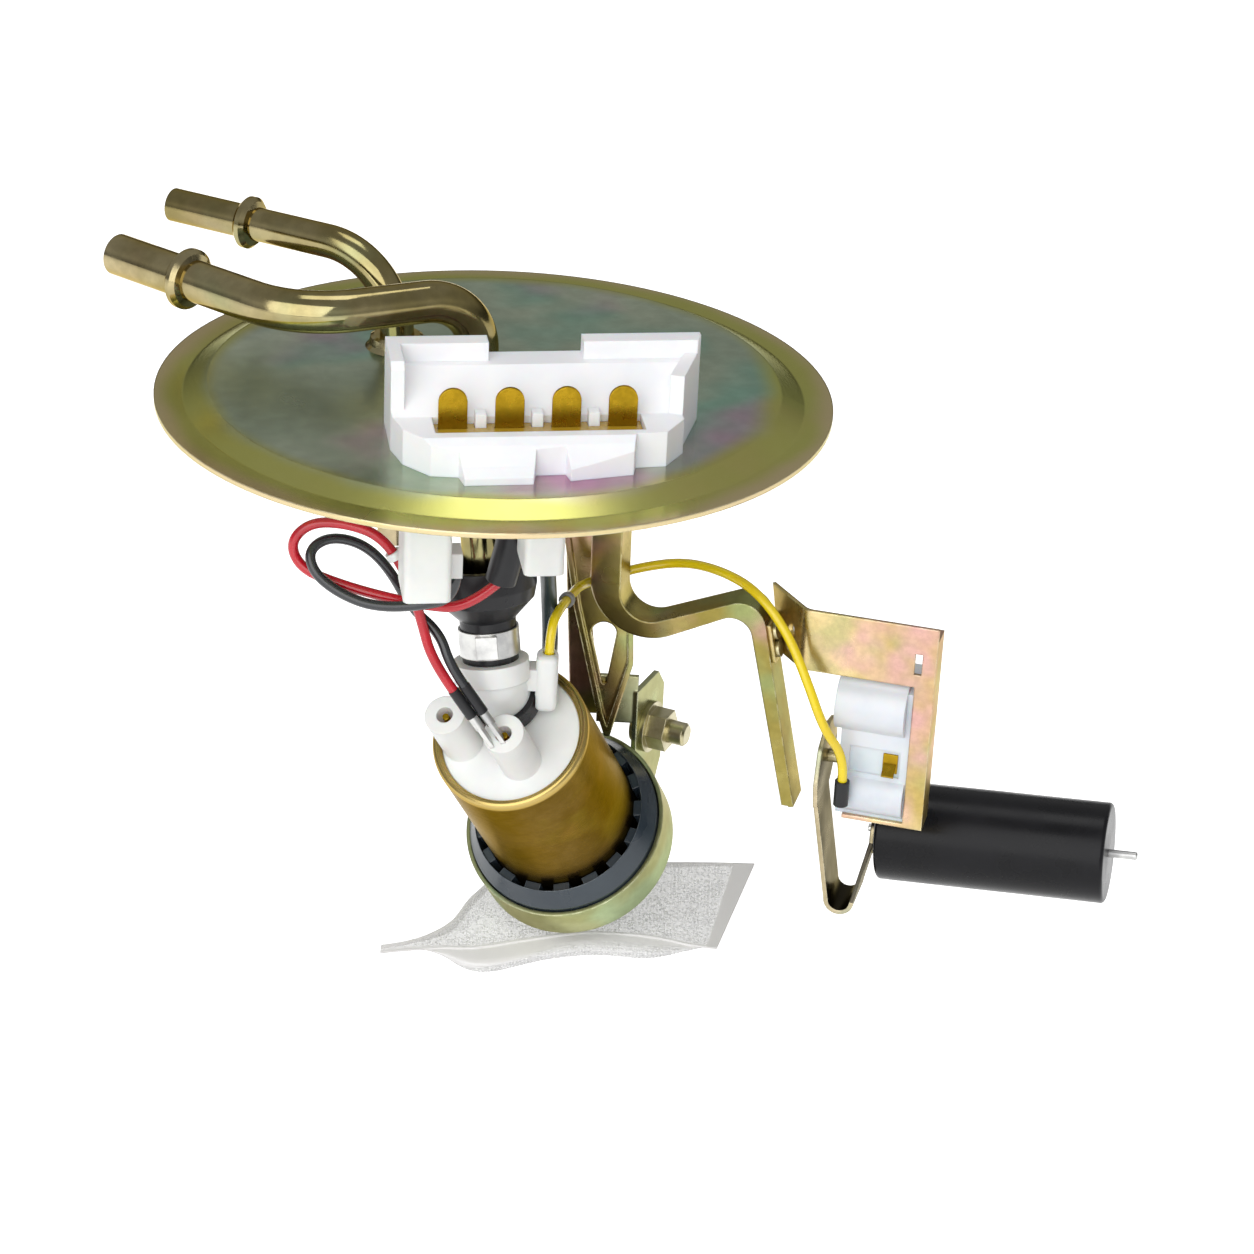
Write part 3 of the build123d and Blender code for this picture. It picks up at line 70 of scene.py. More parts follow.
# ---- shader helpers
class Tree:
    """A thin wrapper that adds and links nodes of one node tree."""

    def __init__(self, tree: bpy.types.NodeTree) -> None:
        """Keeps the tree and clears it.

        Args:
            tree: The node tree.
        """
        self.tree = tree
        tree.nodes.clear()

    def add(self, kind: str, *inputs: object, **settings: object) -> Node:
        """Adds a node, sets its properties and fills its first inputs.

        Args:
            kind: The node's type name.
            *inputs: Sockets or plain values for its inputs, in their order.
            **settings: Properties of the node.

        Returns:
            The new node.
        """
        node = self.tree.nodes.new(kind)
        for key, value in settings.items():
            setattr(node, key, value)
        for value, socket in zip(inputs, node.inputs):
            self.put(value, socket)
        return node

    def put(self, value: object, target: Socket) -> None:
        """Links a socket to an input or sets the input's value.

        Args:
            value: An output or a plain value.
            target: The input.
        """
        if isinstance(value, Socket):
            self.tree.links.new(value, target)
        else:
            target.default_value = value

    def feed(self, node: Node, **inputs: object) -> Node:
        """Fills a node's inputs with sockets or plain values.

        Args:
            node: The node.
            **inputs: Input names with underscores for spaces.

        Returns:
            The same node.
        """
        for key, value in inputs.items():
            self.put(value, node.inputs[key.replace("_", " ")])
        return node

    def noise(self, vector: Socket, scale: object, detail: float = 3.0,
              rough: float = 0.5) -> Socket:
        """Adds a noise texture.

        Args:
            vector: Where the noise is read.
            scale: Its lumps per metre.
            detail: Its octaves.
            rough: The weight of the finer octaves.

        Returns:
            The noise's factor.
        """
        node = self.add("ShaderNodeTexNoise")
        self.feed(node, Vector=vector, Scale=scale, Detail=detail, Roughness=rough)
        return node.outputs["Fac"]

    def span(self, value: Socket, low: float, high: float,
             to_low: float = 0.0, to_high: float = 1.0) -> Socket:
        """Maps a value smoothly from one span to another.

        Args:
            value: The value.
            low: Where the first span starts.
            high: Where it ends.
            to_low: The result at low and before it.
            to_high: The result at high and past it.

        Returns:
            The mapped value.
        """
        node = self.add("ShaderNodeMapRange", interpolation_type="SMOOTHSTEP")
        self.feed(node, Value=value, From_Min=low, From_Max=high, To_Min=to_low, To_Max=to_high)
        return node.outputs["Result"]

    def mix(self, share: Socket, first: object, second: object) -> Socket:
        """Mixes two colours.

        Args:
            share: The share of the second colour.
            first: A colour or a socket.
            second: A colour or a socket.

        Returns:
            The mixed colour.
        """
        node = self.add("ShaderNodeMix", data_type="RGBA")
        self.put(share, node.inputs[0])
        for socket, value in zip(node.inputs[6:8], (first, second)):
            self.put(value if isinstance(value, Socket) else (*value, 1.0), socket)
        return node.outputs[2]

    def math(self, operation: str, first: object, second: object = 0.0) -> Socket:
        """Adds a Math node.

        Args:
            operation: The node's operation.
            first: A number or a socket.
            second: A number or a socket.

        Returns:
            The result.
        """
        return self.add("ShaderNodeMath", first, second, operation=operation).outputs[0]

    def vector(self, operation: str, *inputs: object) -> Node:
        """Adds a vector Math node.

        Args:
            operation: The node's operation.
            *inputs: Sockets or plain vectors for its inputs, in their order.

        Returns:
            The node.
        """
        return self.add("ShaderNodeVectorMath", *inputs, operation=operation)


class GroupMaker:
    """Base of the shared shader groups: builds its node tree once."""

    name = "group"
    inputs: tuple[tuple[str, str, object], ...] = ()
    outputs: tuple[tuple[str, str], ...] = ()

    @classmethod
    def get(cls) -> bpy.types.NodeTree:
        """Builds the group's node tree on first use.

        Returns:
            The tree.
        """
        if cls.name in bpy.data.node_groups:
            return bpy.data.node_groups[cls.name]
        group = bpy.data.node_groups.new(cls.name, "ShaderNodeTree")
        for label, kind, value in cls.inputs:
            socket = group.interface.new_socket(label, in_out="INPUT", socket_type=kind)
            if value is not None:
                socket.default_value = value
        for label, kind in cls.outputs:
            group.interface.new_socket(label, in_out="OUTPUT", socket_type=kind)
        tree = Tree(group)
        source = tree.add("NodeGroupInput")
        target = tree.add("NodeGroupOutput")
        cls.build(tree, source, target)
        return group

    @classmethod
    def build(cls, tree: Tree, source: Node, target: Node) -> None:
        """Adds the group's inner nodes.

        Args:
            tree: The group's tree.
            source: Its input node.
            target: Its output node.
        """
        raise NotImplementedError

    @classmethod
    def place(cls, tree: Tree, **inputs: object) -> Node:
        """Places the group in a material and fills its inputs.

        Args:
            tree: The material's tree.
            **inputs: Input names with underscores for spaces.

        Returns:
            The group's node.
        """
        node = tree.add("ShaderNodeGroup")
        node.node_tree = cls.get()
        return tree.feed(node, **inputs)


class PlatingTint(GroupMaker):
    """Drifting colours of a thin chromate film: three tones and a blush."""

    name = "plating_tint"
    inputs = (("Vector", "NodeSocketVector", None), ("Scale", "NodeSocketFloat", 20.0),
              ("Tone", "NodeSocketColor", (0.5, 0.5, 0.3, 1)),
              ("Light tone", "NodeSocketColor", (0.7, 0.7, 0.5, 1)),
              ("Green", "NodeSocketColor", (0.4, 0.5, 0.35, 1)),
              ("Blush", "NodeSocketColor", (0.6, 0.45, 0.45, 1)),
              ("Green amount", "NodeSocketFloat", 0.7), ("Blush amount", "NodeSocketFloat", 0.7))
    outputs = (("Color", "NodeSocketColor"), ("Cloud", "NodeSocketFloat"))
    green_scale = 1.7
    blush_scale = 0.8
    fine_scale = 14.0
    tone_span = (0.38, 0.64)
    green_span = (0.48, 0.66)
    blush_span = (0.5, 0.68)
    fine_span = (0.3, 0.75)
    fine_shade = (0.9, 1.06)

    @classmethod
    def build(cls, tree: Tree, source: Node, target: Node) -> None:
        """Layers four noises of different size over each other."""
        where, scale = source.outputs["Vector"], source.outputs["Scale"]
        cloud = tree.noise(where, scale, 4.0, 0.55)
        second = tree.noise(where, tree.math("MULTIPLY", scale, cls.green_scale), 2.0)
        third = tree.noise(where, tree.math("MULTIPLY", scale, cls.blush_scale), 3.0, 0.6)
        fine = tree.noise(where, tree.math("MULTIPLY", scale, cls.fine_scale), 4.0, 0.6)
        base = tree.mix(tree.span(cloud, *cls.tone_span), source.outputs["Tone"],
                        source.outputs["Light tone"])
        for name, film in (("Green", tree.span(second, *cls.green_span)),
                           ("Blush", tree.span(third, *cls.blush_span))):
            share = tree.math("MULTIPLY", film, source.outputs[name + " amount"])
            base = tree.mix(share, base, source.outputs[name])
        shade = tree.span(fine, *cls.fine_span, *cls.fine_shade)
        tone = tree.feed(tree.vector("SCALE", base), Scale=shade)
        tree.feed(target, Color=tone.outputs[0], Cloud=cloud)


class EdgeWearAndHighlight(GroupMaker):
    """Finds the edges of a shape and rounds its shading there; its mask marks the edges for a
    lighter colour, which is wear and a painted highlight.
    """

    name = "edge_wear_and_highlight"
    inputs = (("Vector", "NodeSocketVector", None), ("Radius", "NodeSocketFloat", 0.0004),
              ("Breakup", "NodeSocketFloat", 400.0))
    outputs = (("Mask", "NodeSocketFloat"), ("Normal", "NodeSocketVector"))
    rays = 6
    cosine_span = (0.985, 0.8)
    ragged_span = (0.35, 0.6)

    @classmethod
    def build(cls, tree: Tree, source: Node, target: Node) -> None:
        """Compares the rounded normal with the true one."""
        bevel = tree.add("ShaderNodeBevel", source.outputs["Radius"], samples=cls.rays)
        geometry = tree.add("ShaderNodeNewGeometry")
        dot = tree.vector("DOT_PRODUCT", bevel.outputs[0], geometry.outputs["Normal"])
        edge = tree.span(dot.outputs["Value"], *cls.cosine_span)
        breakup = tree.noise(source.outputs["Vector"], source.outputs["Breakup"], 3.0)
        ragged = tree.span(breakup, *cls.ragged_span)
        tree.feed(target, Mask=tree.math("MULTIPLY", edge, ragged), Normal=bevel.outputs[0])


class SurfaceGrain(GroupMaker):
    """Fine texture of a surface: soft waves, grain and a few pits."""

    name = "surface_grain"
    inputs = (("Vector", "NodeSocketVector", None), ("Scale", "NodeSocketFloat", 900.0),
              ("Waves", "NodeSocketFloat", 60.0))
    outputs = (("Height", "NodeSocketFloat"), ("Speckle", "NodeSocketFloat"))
    grain_height = 0.35
    speckle_scale = 0.35
    speckle_span = (0.66, 0.74)

    @classmethod
    def build(cls, tree: Tree, source: Node, target: Node) -> None:
        """Adds grain to long waves and picks out the highest grains."""
        where = source.outputs["Vector"]
        grain = tree.noise(where, source.outputs["Scale"], 4.0, 0.6)
        waves = tree.noise(where, source.outputs["Waves"], 2.0)
        height = tree.math("ADD", tree.math("MULTIPLY", grain, cls.grain_height), waves)
        coarse = tree.math("MULTIPLY", source.outputs["Scale"], cls.speckle_scale)
        speckle = tree.span(tree.noise(where, coarse, 1.0), *cls.speckle_span)
        tree.feed(target, Height=height, Speckle=speckle)


# ---- finishes
@dataclass(frozen=True)
class Finish:
    """Base of every finish: a named material with a Principled shader."""

    made: ClassVar[dict[str, Material]] = {}
    name: str
    radius: float = 0.0004
    grain_scale: float = 1200.0
    waves: float = 110.0
    relief: float = 0.0003
    grain: float = 0.12

    def start(self) -> tuple[Tree, Node, Socket, Material]:
        """Makes the material, its shader and its Object coordinates.

        Returns:
            The tree, the shader, the coordinates and the material.
        """
        material = bpy.data.materials.new(self.name)
        material.use_nodes = True
        tree = Tree(material.node_tree)
        shader = tree.add("ShaderNodeBsdfPrincipled")
        tree.add("ShaderNodeOutputMaterial", shader.outputs[0])
        where = tree.add("ShaderNodeTexCoord").outputs["Object"]
        return tree, shader, where, material

    def material(self) -> Material:
        """Builds the material on first use.

        Returns:
            The material.
        """
        if self.name not in self.made:
            self.made[self.name] = self.build()
        return self.made[self.name]

    def build(self) -> Material:
        """Builds the material's nodes.

        Returns:
            The material.
        """
        raise NotImplementedError

    def skin(self, tree: Tree, where: Socket) -> tuple[Socket, Node, Socket]:
        """Lays a grain over the shape and rounds its edges.

        Args:
            tree: The material's tree.
            where: The coordinates.

        Returns:
            The mask of the edges, which carries wear and a painted highlight, the grain's node and
            the normal.
        """
        wear = EdgeWearAndHighlight.place(tree, Vector=where, Radius=self.radius)
        grain = SurfaceGrain.place(tree, Vector=where, Scale=self.grain_scale, Waves=self.waves)
        normal = self.bump(tree, grain.outputs["Height"], self.relief, self.grain,
                           wear.outputs["Normal"])
        return wear.outputs["Mask"], grain, normal

    @staticmethod
    def bump(tree: Tree, height: Socket, distance: float, strength: float,
             normal: Socket | None = None) -> Socket:
        """Turns a height into a normal.

        Args:
            tree: The material's tree.
            height: The height, from 0 to 1.
            distance: How far that is, in metres.
            strength: The share of it that shows.
            normal: The normal that it is laid on.

        Returns:
            The bumped normal.
        """
        node = tree.add("ShaderNodeBump")
        tree.feed(node, Height=height, Distance=distance, Strength=strength)
        if normal is not None:
            tree.feed(node, Normal=normal)
        return node.outputs[0]


@dataclass(frozen=True)
class Plated(Finish):
    """Base of the plated metals: a drifting tint in four colours."""

    tone: Colour = (0.50, 0.46, 0.24)
    light: Colour = (0.74, 0.70, 0.46)
    green: Colour = (0.38, 0.46, 0.34)
    blush: Colour = (0.62, 0.47, 0.46)
    green_amount: float = 0.6
    blush_amount: float = 0.7
    scale: float = 34.0

    def tint(self, tree: Tree, where: Socket) -> Node:
        """Places the tint.

        Args:
            tree: The material's tree.
            where: The coordinates.

        Returns:
            The tint's node, with its colour and its cloud.
        """
        return PlatingTint.place(tree, Vector=where, Scale=self.scale, Tone=(*self.tone, 1),
                                 Light_tone=(*self.light, 1), Green=(*self.green, 1),
                                 Blush=(*self.blush, 1), Green_amount=self.green_amount,
                                 Blush_amount=self.blush_amount)


@dataclass(frozen=True)
class ChromatePlate(Plated):
    """Yellow chromate over zinc, with its drifting rainbow."""

    rough_low: float = 0.22
    rough_high: float = 0.42
    edge: Colour = (0.86, 0.82, 0.60)
    radius: float = 0.0006
    edge_share: float = 0.6
    sheen_tint: Colour = (0.90, 0.80, 0.55)
    metal: float = 0.94
    cloud_span = (0.3, 0.7)
    grain_scale: float = 1500.0
    waves: float = 90.0
    relief: float = 0.0002

    def build(self) -> Material:
        """Tint, edges lightened by wear and a painted highlight, and a faint rolled texture."""
        tree, shader, where, material = self.start()
        tint = self.tint(tree, where)
        mask, _, normal = self.skin(tree, where)
        colour = self.tinted(tree, where, tint.outputs["Color"])
        wear_and_glint = tree.math("MULTIPLY", mask, self.edge_share)
        rough = tree.span(tint.outputs["Cloud"], *self.cloud_span, self.rough_high,
                          self.rough_low)
        # The edge colour is wear and a painted highlight on the edges.
        tree.feed(shader, Base_Color=tree.mix(wear_and_glint, colour, self.edge), Roughness=rough,
                  Metallic=self.metal, Specular_Tint=(*self.sheen_tint, 1.0), Normal=normal)
        return material

    def tinted(self, tree: Tree, where: Socket, colour: Socket) -> Socket:
        """Leaves the tint as it is; a finish with zones changes it.

        Args:
            tree: The material's tree.
            where: The coordinates.
            colour: The tint.

        Returns:
            The tint with its zones.
        """
        return colour


@dataclass(frozen=True)
class FlangePlate(ChromatePlate):
    """The flange's plating: dark in the middle, gold on the ramp, pink on the rim."""

    middle_mm: float = 61.0
    ramp_mm: float = 67.5
    rim_mm: float = 72.0
    outer_mm: float = 77.4
    gold: Colour = (0.48, 0.46, 0.09)
    rim: Colour = (0.68, 0.50, 0.38)
    gold_share: float = 0.85
    rim_share: float = 0.6
    wobble_scale: float = 26.0
    wobble_mm: float = 12.0

    def tinted(self, tree: Tree, where: Socket, colour: Socket) -> Socket:
        """Blends the gold ramp and the pinkish rim over the middle's tint."""
        flat = tree.vector("MULTIPLY", where, (1.0, 1.0, 0.0))
        length = tree.vector("LENGTH", flat.outputs[0])
        wave = tree.noise(where, self.wobble_scale, 2.0)
        wobble = tree.math("MULTIPLY", wave, self.wobble_mm * MM)
        shift = tree.math("SUBTRACT", wobble, self.wobble_mm * MM / 2)
        radius = tree.math("ADD", length.outputs["Value"], shift)
        ramp = tree.span(radius, self.middle_mm * MM, self.ramp_mm * MM)
        colour = tree.mix(tree.math("MULTIPLY", ramp, self.gold_share), colour, self.gold)
        rim = tree.span(radius, self.rim_mm * MM, self.outer_mm * MM)
        return tree.mix(tree.math("MULTIPLY", rim, self.rim_share), colour, self.rim)


@dataclass(frozen=True)
class LeverWithPaintedReflection(ChromatePlate):
    """Plating with a painted dark reflection of the float on the lower leg; faces that look
    forwards keep only a little of it.
    """

    # The black is a painted reflection of the float on the lower leg, not a coat of paint.
    painted_reflection: Colour = (0.012, 0.012, 0.014)
    reflection_top_mm: float = -97.0
    slope: float = 0.45
    middle_mm: float = 92.0
    ragged_scale: float = 300.0
    ragged_mm: float = 4.0
    front_reflection_share: float = 0.15
    bare_mm: float = 2.5
    full_mm: float = 1.0
    front_span = (-0.93, -0.8)

    def tinted(self, tree: Tree, where: Socket, colour: Socket) -> Socket:
        """Paints the float's dark reflection on what lies below a slanted line and doesn't face
        forwards.
        """
        split = tree.add("ShaderNodeSeparateXYZ", where)
        across = tree.math("SUBTRACT", split.outputs["X"], self.middle_mm * MM)
        line = tree.math("ADD", split.outputs["Z"], tree.math("MULTIPLY", across, self.slope))
        ragged = tree.math("MULTIPLY", tree.noise(where, self.ragged_scale), self.ragged_mm * MM)
        below = tree.span(tree.math("ADD", line, ragged), (self.reflection_top_mm + self.bare_mm) * MM,
                          (self.reflection_top_mm + self.full_mm) * MM)
        normal = tree.add("ShaderNodeNewGeometry").outputs["Normal"]
        facing = tree.add("ShaderNodeSeparateXYZ", normal)
        face = tree.span(facing.outputs["Y"], *self.front_span, self.front_reflection_share)
        # Mixes in the painted dark reflection of the float.
        return tree.mix(tree.math("MULTIPLY", below, face), colour, self.painted_reflection)


@dataclass(frozen=True)
class DrawnTube(Plated):
    """Bright plated tube with long draw lines and soft olive clouds."""

    tone: Colour = (0.34, 0.28, 0.12)
    light: Colour = (0.52, 0.45, 0.26)
    green: Colour = (0.30, 0.32, 0.17)
    blush: Colour = (0.5, 0.36, 0.26)
    green_amount: float = 0.55
    blush_amount: float = 0.4
    scale: float = 28.0
    rough: float = 0.16
    sheen_tint: Colour = (0.85, 0.72, 0.45)
    grain_scale: float = 2600.0
    waves: float = 140.0
    relief: float = 0.0001
    grain: float = 0.15
    line_span = (0.4, 1.0)
    smoother = 0.05
    rougher = 0.1

    def build(self) -> Material:
        """Clouded gold, polished along its length."""
        tree, shader, where, material = self.start()
        tint = self.tint(tree, where)
        grain = SurfaceGrain.place(tree, Vector=where, Scale=self.grain_scale, Waves=self.waves)
        rough = tree.span(grain.outputs["Height"], *self.line_span, self.rough - self.smoother,
                          self.rough + self.rougher)
        tree.feed(shader, Base_Color=tint.outputs["Color"], Roughness=rough, Metallic=1.0,
                  Specular_Tint=(*self.sheen_tint, 1.0),
                  Normal=self.bump(tree, grain.outputs["Height"], self.relief, self.grain))
        return material


@dataclass(frozen=True)
class PumpCan(Plated):
    """The pump's can: golden brown, finely ringed, with a bright rolled lip."""

    tone: Colour = (0.095, 0.060, 0.020)
    light: Colour = (0.14, 0.092, 0.036)
    lip: Colour = (0.46, 0.34, 0.12)
    green: Colour = (0.17, 0.125, 0.03)
    blush: Colour = (0.22, 0.12, 0.04)
    green_amount: float = 0.5
    blush_amount: float = 0.5
    scale: float = 40.0
    rings_per_metre: float = 5200.0
    relief: float = 0.00005
    grain: float = 0.25
    top: Point = (6.3, -14.0, -80.0)
    axis: Point = (-0.2496, -0.5890, 0.7687)
    lip_depth_mm: float = 2.4
    lip_share: float = 0.6
    ring_span = (0.3, 0.7)
    ring_rough = (0.24, 0.36)
    sheen_tint: Colour = (0.80, 0.64, 0.38)

    def build(self) -> Material:
        """Rings across the pump's axis and a bright band at its rim."""
        tree, shader, where, material = self.start()
        shift = tree.vector("SUBTRACT", where, metres(self.top))
        along = tree.vector("DOT_PRODUCT", shift.outputs[0], Vector(self.axis).normalized())
        height = along.outputs["Value"]
        lip = tree.span(height, -self.lip_depth_mm * MM, -self.lip_share * self.lip_depth_mm * MM)
        colour = tree.mix(lip, self.tint(tree, where).outputs["Color"], self.lip)
        rings = tree.add("ShaderNodeTexNoise", noise_dimensions="1D")
        count = tree.math("MULTIPLY", height, self.rings_per_metre)
        tree.feed(rings, W=count, Scale=1.0, Detail=2.0)
        tree.feed(shader, Base_Color=colour, Metallic=1.0,
                  Roughness=tree.span(rings.outputs["Fac"], *self.ring_span, *self.ring_rough),
                  Specular_Tint=(*self.sheen_tint, 1.0),
                  Normal=self.bump(tree, rings.outputs["Fac"], self.relief, self.grain))
        return material


@dataclass(frozen=True)
class MouldedPlastic(Finish):
    """Moulded plastic or rubber with soft flow marks, grain and edges lightened by rubbing and a
    painted highlight.
    """

    colour: Colour = (0.86, 0.86, 0.84)
    shade: Colour = (0.74, 0.76, 0.77)
    edge: Colour = (0.93, 0.93, 0.92)
    rough: float = 0.4
    glow: float = 0.0
    coat: float = 0.0
    speckle: float = 0.0
    edge_share: float = 0.5
    index: float = 1.5
    cloud_scale: float = 48.0
    glow_depth: float = 0.004
    cloud_span = (0.35, 0.7)
    rougher = 0.1

    def build(self) -> Material:
        """Clouds, speckles, edges lightened by wear and a painted highlight, and a grained
        surface.
        """
        tree, shader, where, material = self.start()
        rim, grain, normal = self.skin(tree, where)
        cloud = tree.span(tree.noise(where, self.cloud_scale, 4.0, 0.6), *self.cloud_span)
        colour = tree.mix(cloud, self.colour, self.shade)
        # The rim mask lays the edge colour: wear and a painted highlight.
        for mask, share in ((grain.outputs["Speckle"], self.speckle), (rim, self.edge_share)):
            colour = tree.mix(tree.math("MULTIPLY", mask, share), colour, self.edge)
        rough = tree.span(cloud, 0.0, 1.0, self.rough, self.rough + self.rougher)
        tree.feed(shader, Base_Color=colour, Roughness=rough, Subsurface_Weight=self.glow,
                  Subsurface_Scale=self.glow_depth, Coat_Weight=self.coat, IOR=self.index,
                  Normal=normal)
        return material


@dataclass(frozen=True)
class BareMetal(Finish):
    """Bare or thinly plated metal with fine scratches and edges brightened by wear and a painted
    highlight.
    """

    colour: Colour = (0.6, 0.6, 0.58)
    shade: Colour = (0.42, 0.42, 0.42)
    edge: Colour = (0.8, 0.8, 0.78)
    rough: float = 0.28
    patch_scale: float = 120.0
    sheen_tint: Colour = (1.0, 1.0, 1.0)
    radius: float = 0.0003
    edge_share: float = 0.6
    grain_scale: float = 2400.0
    waves: float = 200.0
    relief: float = 0.0001
    grain: float = 0.2
    patch_span = (0.35, 0.68)
    rougher = 0.14

    def build(self) -> Material:
        """Patches, scratches and edges brightened by wear and a painted highlight."""
        tree, shader, where, material = self.start()
        mask, _, normal = self.skin(tree, where)
        patch = tree.span(tree.noise(where, self.patch_scale, 5.0, 0.65), *self.patch_span)
        wear_and_glint = tree.math("MULTIPLY", mask, self.edge_share)
        # The edge colour is wear and a painted highlight.
        colour = tree.mix(wear_and_glint, tree.mix(patch, self.colour, self.shade), self.edge)
        rough = tree.span(patch, 0.0, 1.0, self.rough, self.rough + self.rougher)
        tree.feed(shader, Base_Color=colour, Roughness=rough, Metallic=1.0,
                  Specular_Tint=(*self.sheen_tint, 1.0), Normal=normal)
        return material


@dataclass(frozen=True)
class WireSkin(Finish):
    """Glossy wire insulation with slight ripples and dusty marks."""

    colour: Colour = (0.6, 0.02, 0.03)
    dark: Colour = (0.35, 0.01, 0.02)
    rough: float = 0.25
    drift_scale: float = 70.0
    scuff_scale: float = 700.0
    ripple_scale: float = 420.0
    ripple: float = 0.0002
    coat: float = 0.3
    coat_rough: float = 0.12
    drift_span = (0.4, 0.7)
    scuff_span = (0.6, 0.74)
    rougher = 0.25
    ripple_share = 0.1

    def build(self) -> Material:
        """Colour drift, scuffs and a thin gloss."""
        tree, shader, where, material = self.start()
        drift = tree.span(tree.noise(where, self.drift_scale), *self.drift_span)
        scuff = tree.span(tree.noise(where, self.scuff_scale, 4.0, 0.65), *self.scuff_span)
        rough = tree.span(scuff, 0.0, 1.0, self.rough, self.rough + self.rougher)
        ripples = tree.noise(where, self.ripple_scale, 2.0)
        tree.feed(shader, Base_Color=tree.mix(drift, self.colour, self.dark), Roughness=rough,
                  Coat_Weight=self.coat, Coat_Roughness=self.coat_rough,
                  Normal=self.bump(tree, ripples, self.ripple, self.ripple_share))
        return material


@dataclass(frozen=True)
class FilterMesh(Finish):
    """White filter cloth of small bright cells; its sealed rim is smooth."""

    colour: Colour = (0.97, 0.97, 0.97)
    gap: Colour = (0.80, 0.795, 0.80)
    band: Colour = (0.90, 0.885, 0.88)
    crease: Colour = (0.80, 0.79, 0.79)
    cells_per_metre: float = 1150.0
    drift_scale: float = 90.0
    drift_reach: float = 0.0012
    patch_scale: float = 70.0
    crease_share: float = 0.55
    relief: float = 0.0004
    thin: float = 0.45
    thick: float = 0.85
    sheen: float = 0.2
    grain: float = 0.5
    jitter = 0.55
    knot_span = (0.62, 0.18)
    patch_span = (0.38, 0.66)
    weave_rough = (0.55, 0.3)

    def build(self) -> Material:
        """Staggered cells on the piece's own map, faded out on the sealed rim."""
        tree, shader, _, material = self.start()
        uv = tree.add("ShaderNodeUVMap", uv_map="cloth").outputs[0]
        drift = tree.add("ShaderNodeTexNoise")
        tree.feed(drift, Vector=uv, Scale=self.drift_scale, Detail=2.0)
        small = tree.feed(tree.vector("SCALE", drift.outputs["Color"]), Scale=self.drift_reach)
        warp = tree.vector("ADD", uv, small.outputs[0])
        cells = tree.feed(tree.add("ShaderNodeTexVoronoi"), Vector=warp.outputs[0],
                          Scale=self.cells_per_metre, Randomness=self.jitter)
        knot = tree.span(cells.outputs["Distance"], *self.knot_span)
        border = tree.add("ShaderNodeAttribute", attribute_name="sealed").outputs["Fac"]
        weave = tree.math("MULTIPLY", knot, tree.math("SUBTRACT", 1.0, border))
        patch = tree.span(tree.noise(uv, self.patch_scale, 4.0, 0.6), *self.patch_span)
        colour = tree.mix(knot, self.gap, self.colour)
        colour = tree.mix(tree.math("MULTIPLY", patch, self.crease_share), colour, self.crease)
        cover = tree.math("MAXIMUM", tree.span(weave, 0.0, 1.0, self.thin, self.thick),
                          tree.math("MULTIPLY", border, self.thick))
        tree.feed(shader, Base_Color=tree.mix(border, colour, self.band), Alpha=cover,
                  Roughness=tree.span(weave, 0.0, 1.0, *self.weave_rough),
                  Sheen_Weight=self.sheen,
                  Normal=self.bump(tree, weave, self.relief, self.grain))
        return material


ZINC = ChromatePlate(
    "chromate_bright", tone=(0.27, 0.22, 0.055), light=(0.42, 0.36, 0.13),
    green=(0.26, 0.34, 0.15), blush=(0.46, 0.25, 0.22), blush_amount=0.85, rough_low=0.16,
    rough_high=0.34)
ZINC_CUP = ChromatePlate(
    "chromate_pale", tone=(0.30, 0.32, 0.16), light=(0.43, 0.46, 0.29), green=(0.36, 0.50, 0.32),
    blush=(0.50, 0.42, 0.22), scale=26.0)
ZINC_SENDER = ChromatePlate(
    "chromate_sender", tone=(0.48, 0.36, 0.12), light=(0.66, 0.52, 0.26), green=(0.36, 0.36, 0.16),
    blush=(0.62, 0.36, 0.34), blush_amount=0.9, scale=44.0)
# The float arm wears a painted reflection of the float on its lower leg.
ZINC_LEVER = LeverWithPaintedReflection(
    "lever_painted_reflection", tone=(0.40, 0.34, 0.20), light=(0.62, 0.52, 0.34), blush=(0.74, 0.46, 0.33),
    blush_amount=0.85, scale=36.0)
FLANGE = FlangePlate(
    "chromate_flange", tone=(0.38, 0.46, 0.38), light=(0.52, 0.58, 0.48), green=(0.24, 0.47, 0.40),
    blush=(0.60, 0.29, 0.50), scale=15.0, green_amount=0.8, blush_amount=0.9, rough_low=0.20,
    rough_high=0.28, sheen_tint=(0.8, 0.8, 0.6))
TUBE = DrawnTube("plated_tube", tone=(0.25, 0.205, 0.085), light=(0.40, 0.34, 0.19), rough=0.12)
CAN = PumpCan("pump_can")
NYLON = MouldedPlastic(
    "white_nylon", colour=(0.91, 0.91, 0.89), shade=(0.83, 0.84, 0.84), glow=0.15)
NYLON_COOL = MouldedPlastic(
    "cool_white_nylon", colour=(0.78, 0.81, 0.86), shade=(0.66, 0.71, 0.78), glow=0.25, rough=0.3)
PLUG_NYLON = MouldedPlastic(
    "connector_nylon", colour=(0.90, 0.90, 0.91), shade=(0.84, 0.85, 0.88), glow=0.2, rough=0.36)
RESIN = MouldedPlastic(
    "amber_resin", colour=(0.46, 0.30, 0.03), shade=(0.36, 0.22, 0.02), edge=(0.62, 0.46, 0.1),
    rough=0.14, coat=0.6, grain=0.05)
BLADE = BareMetal(
    "brass_blades", colour=(0.40, 0.25, 0.015), shade=(0.30, 0.19, 0.01), edge=(0.56, 0.42, 0.08),
    rough=0.26, patch_scale=260.0, sheen_tint=(0.8, 0.55, 0.12))
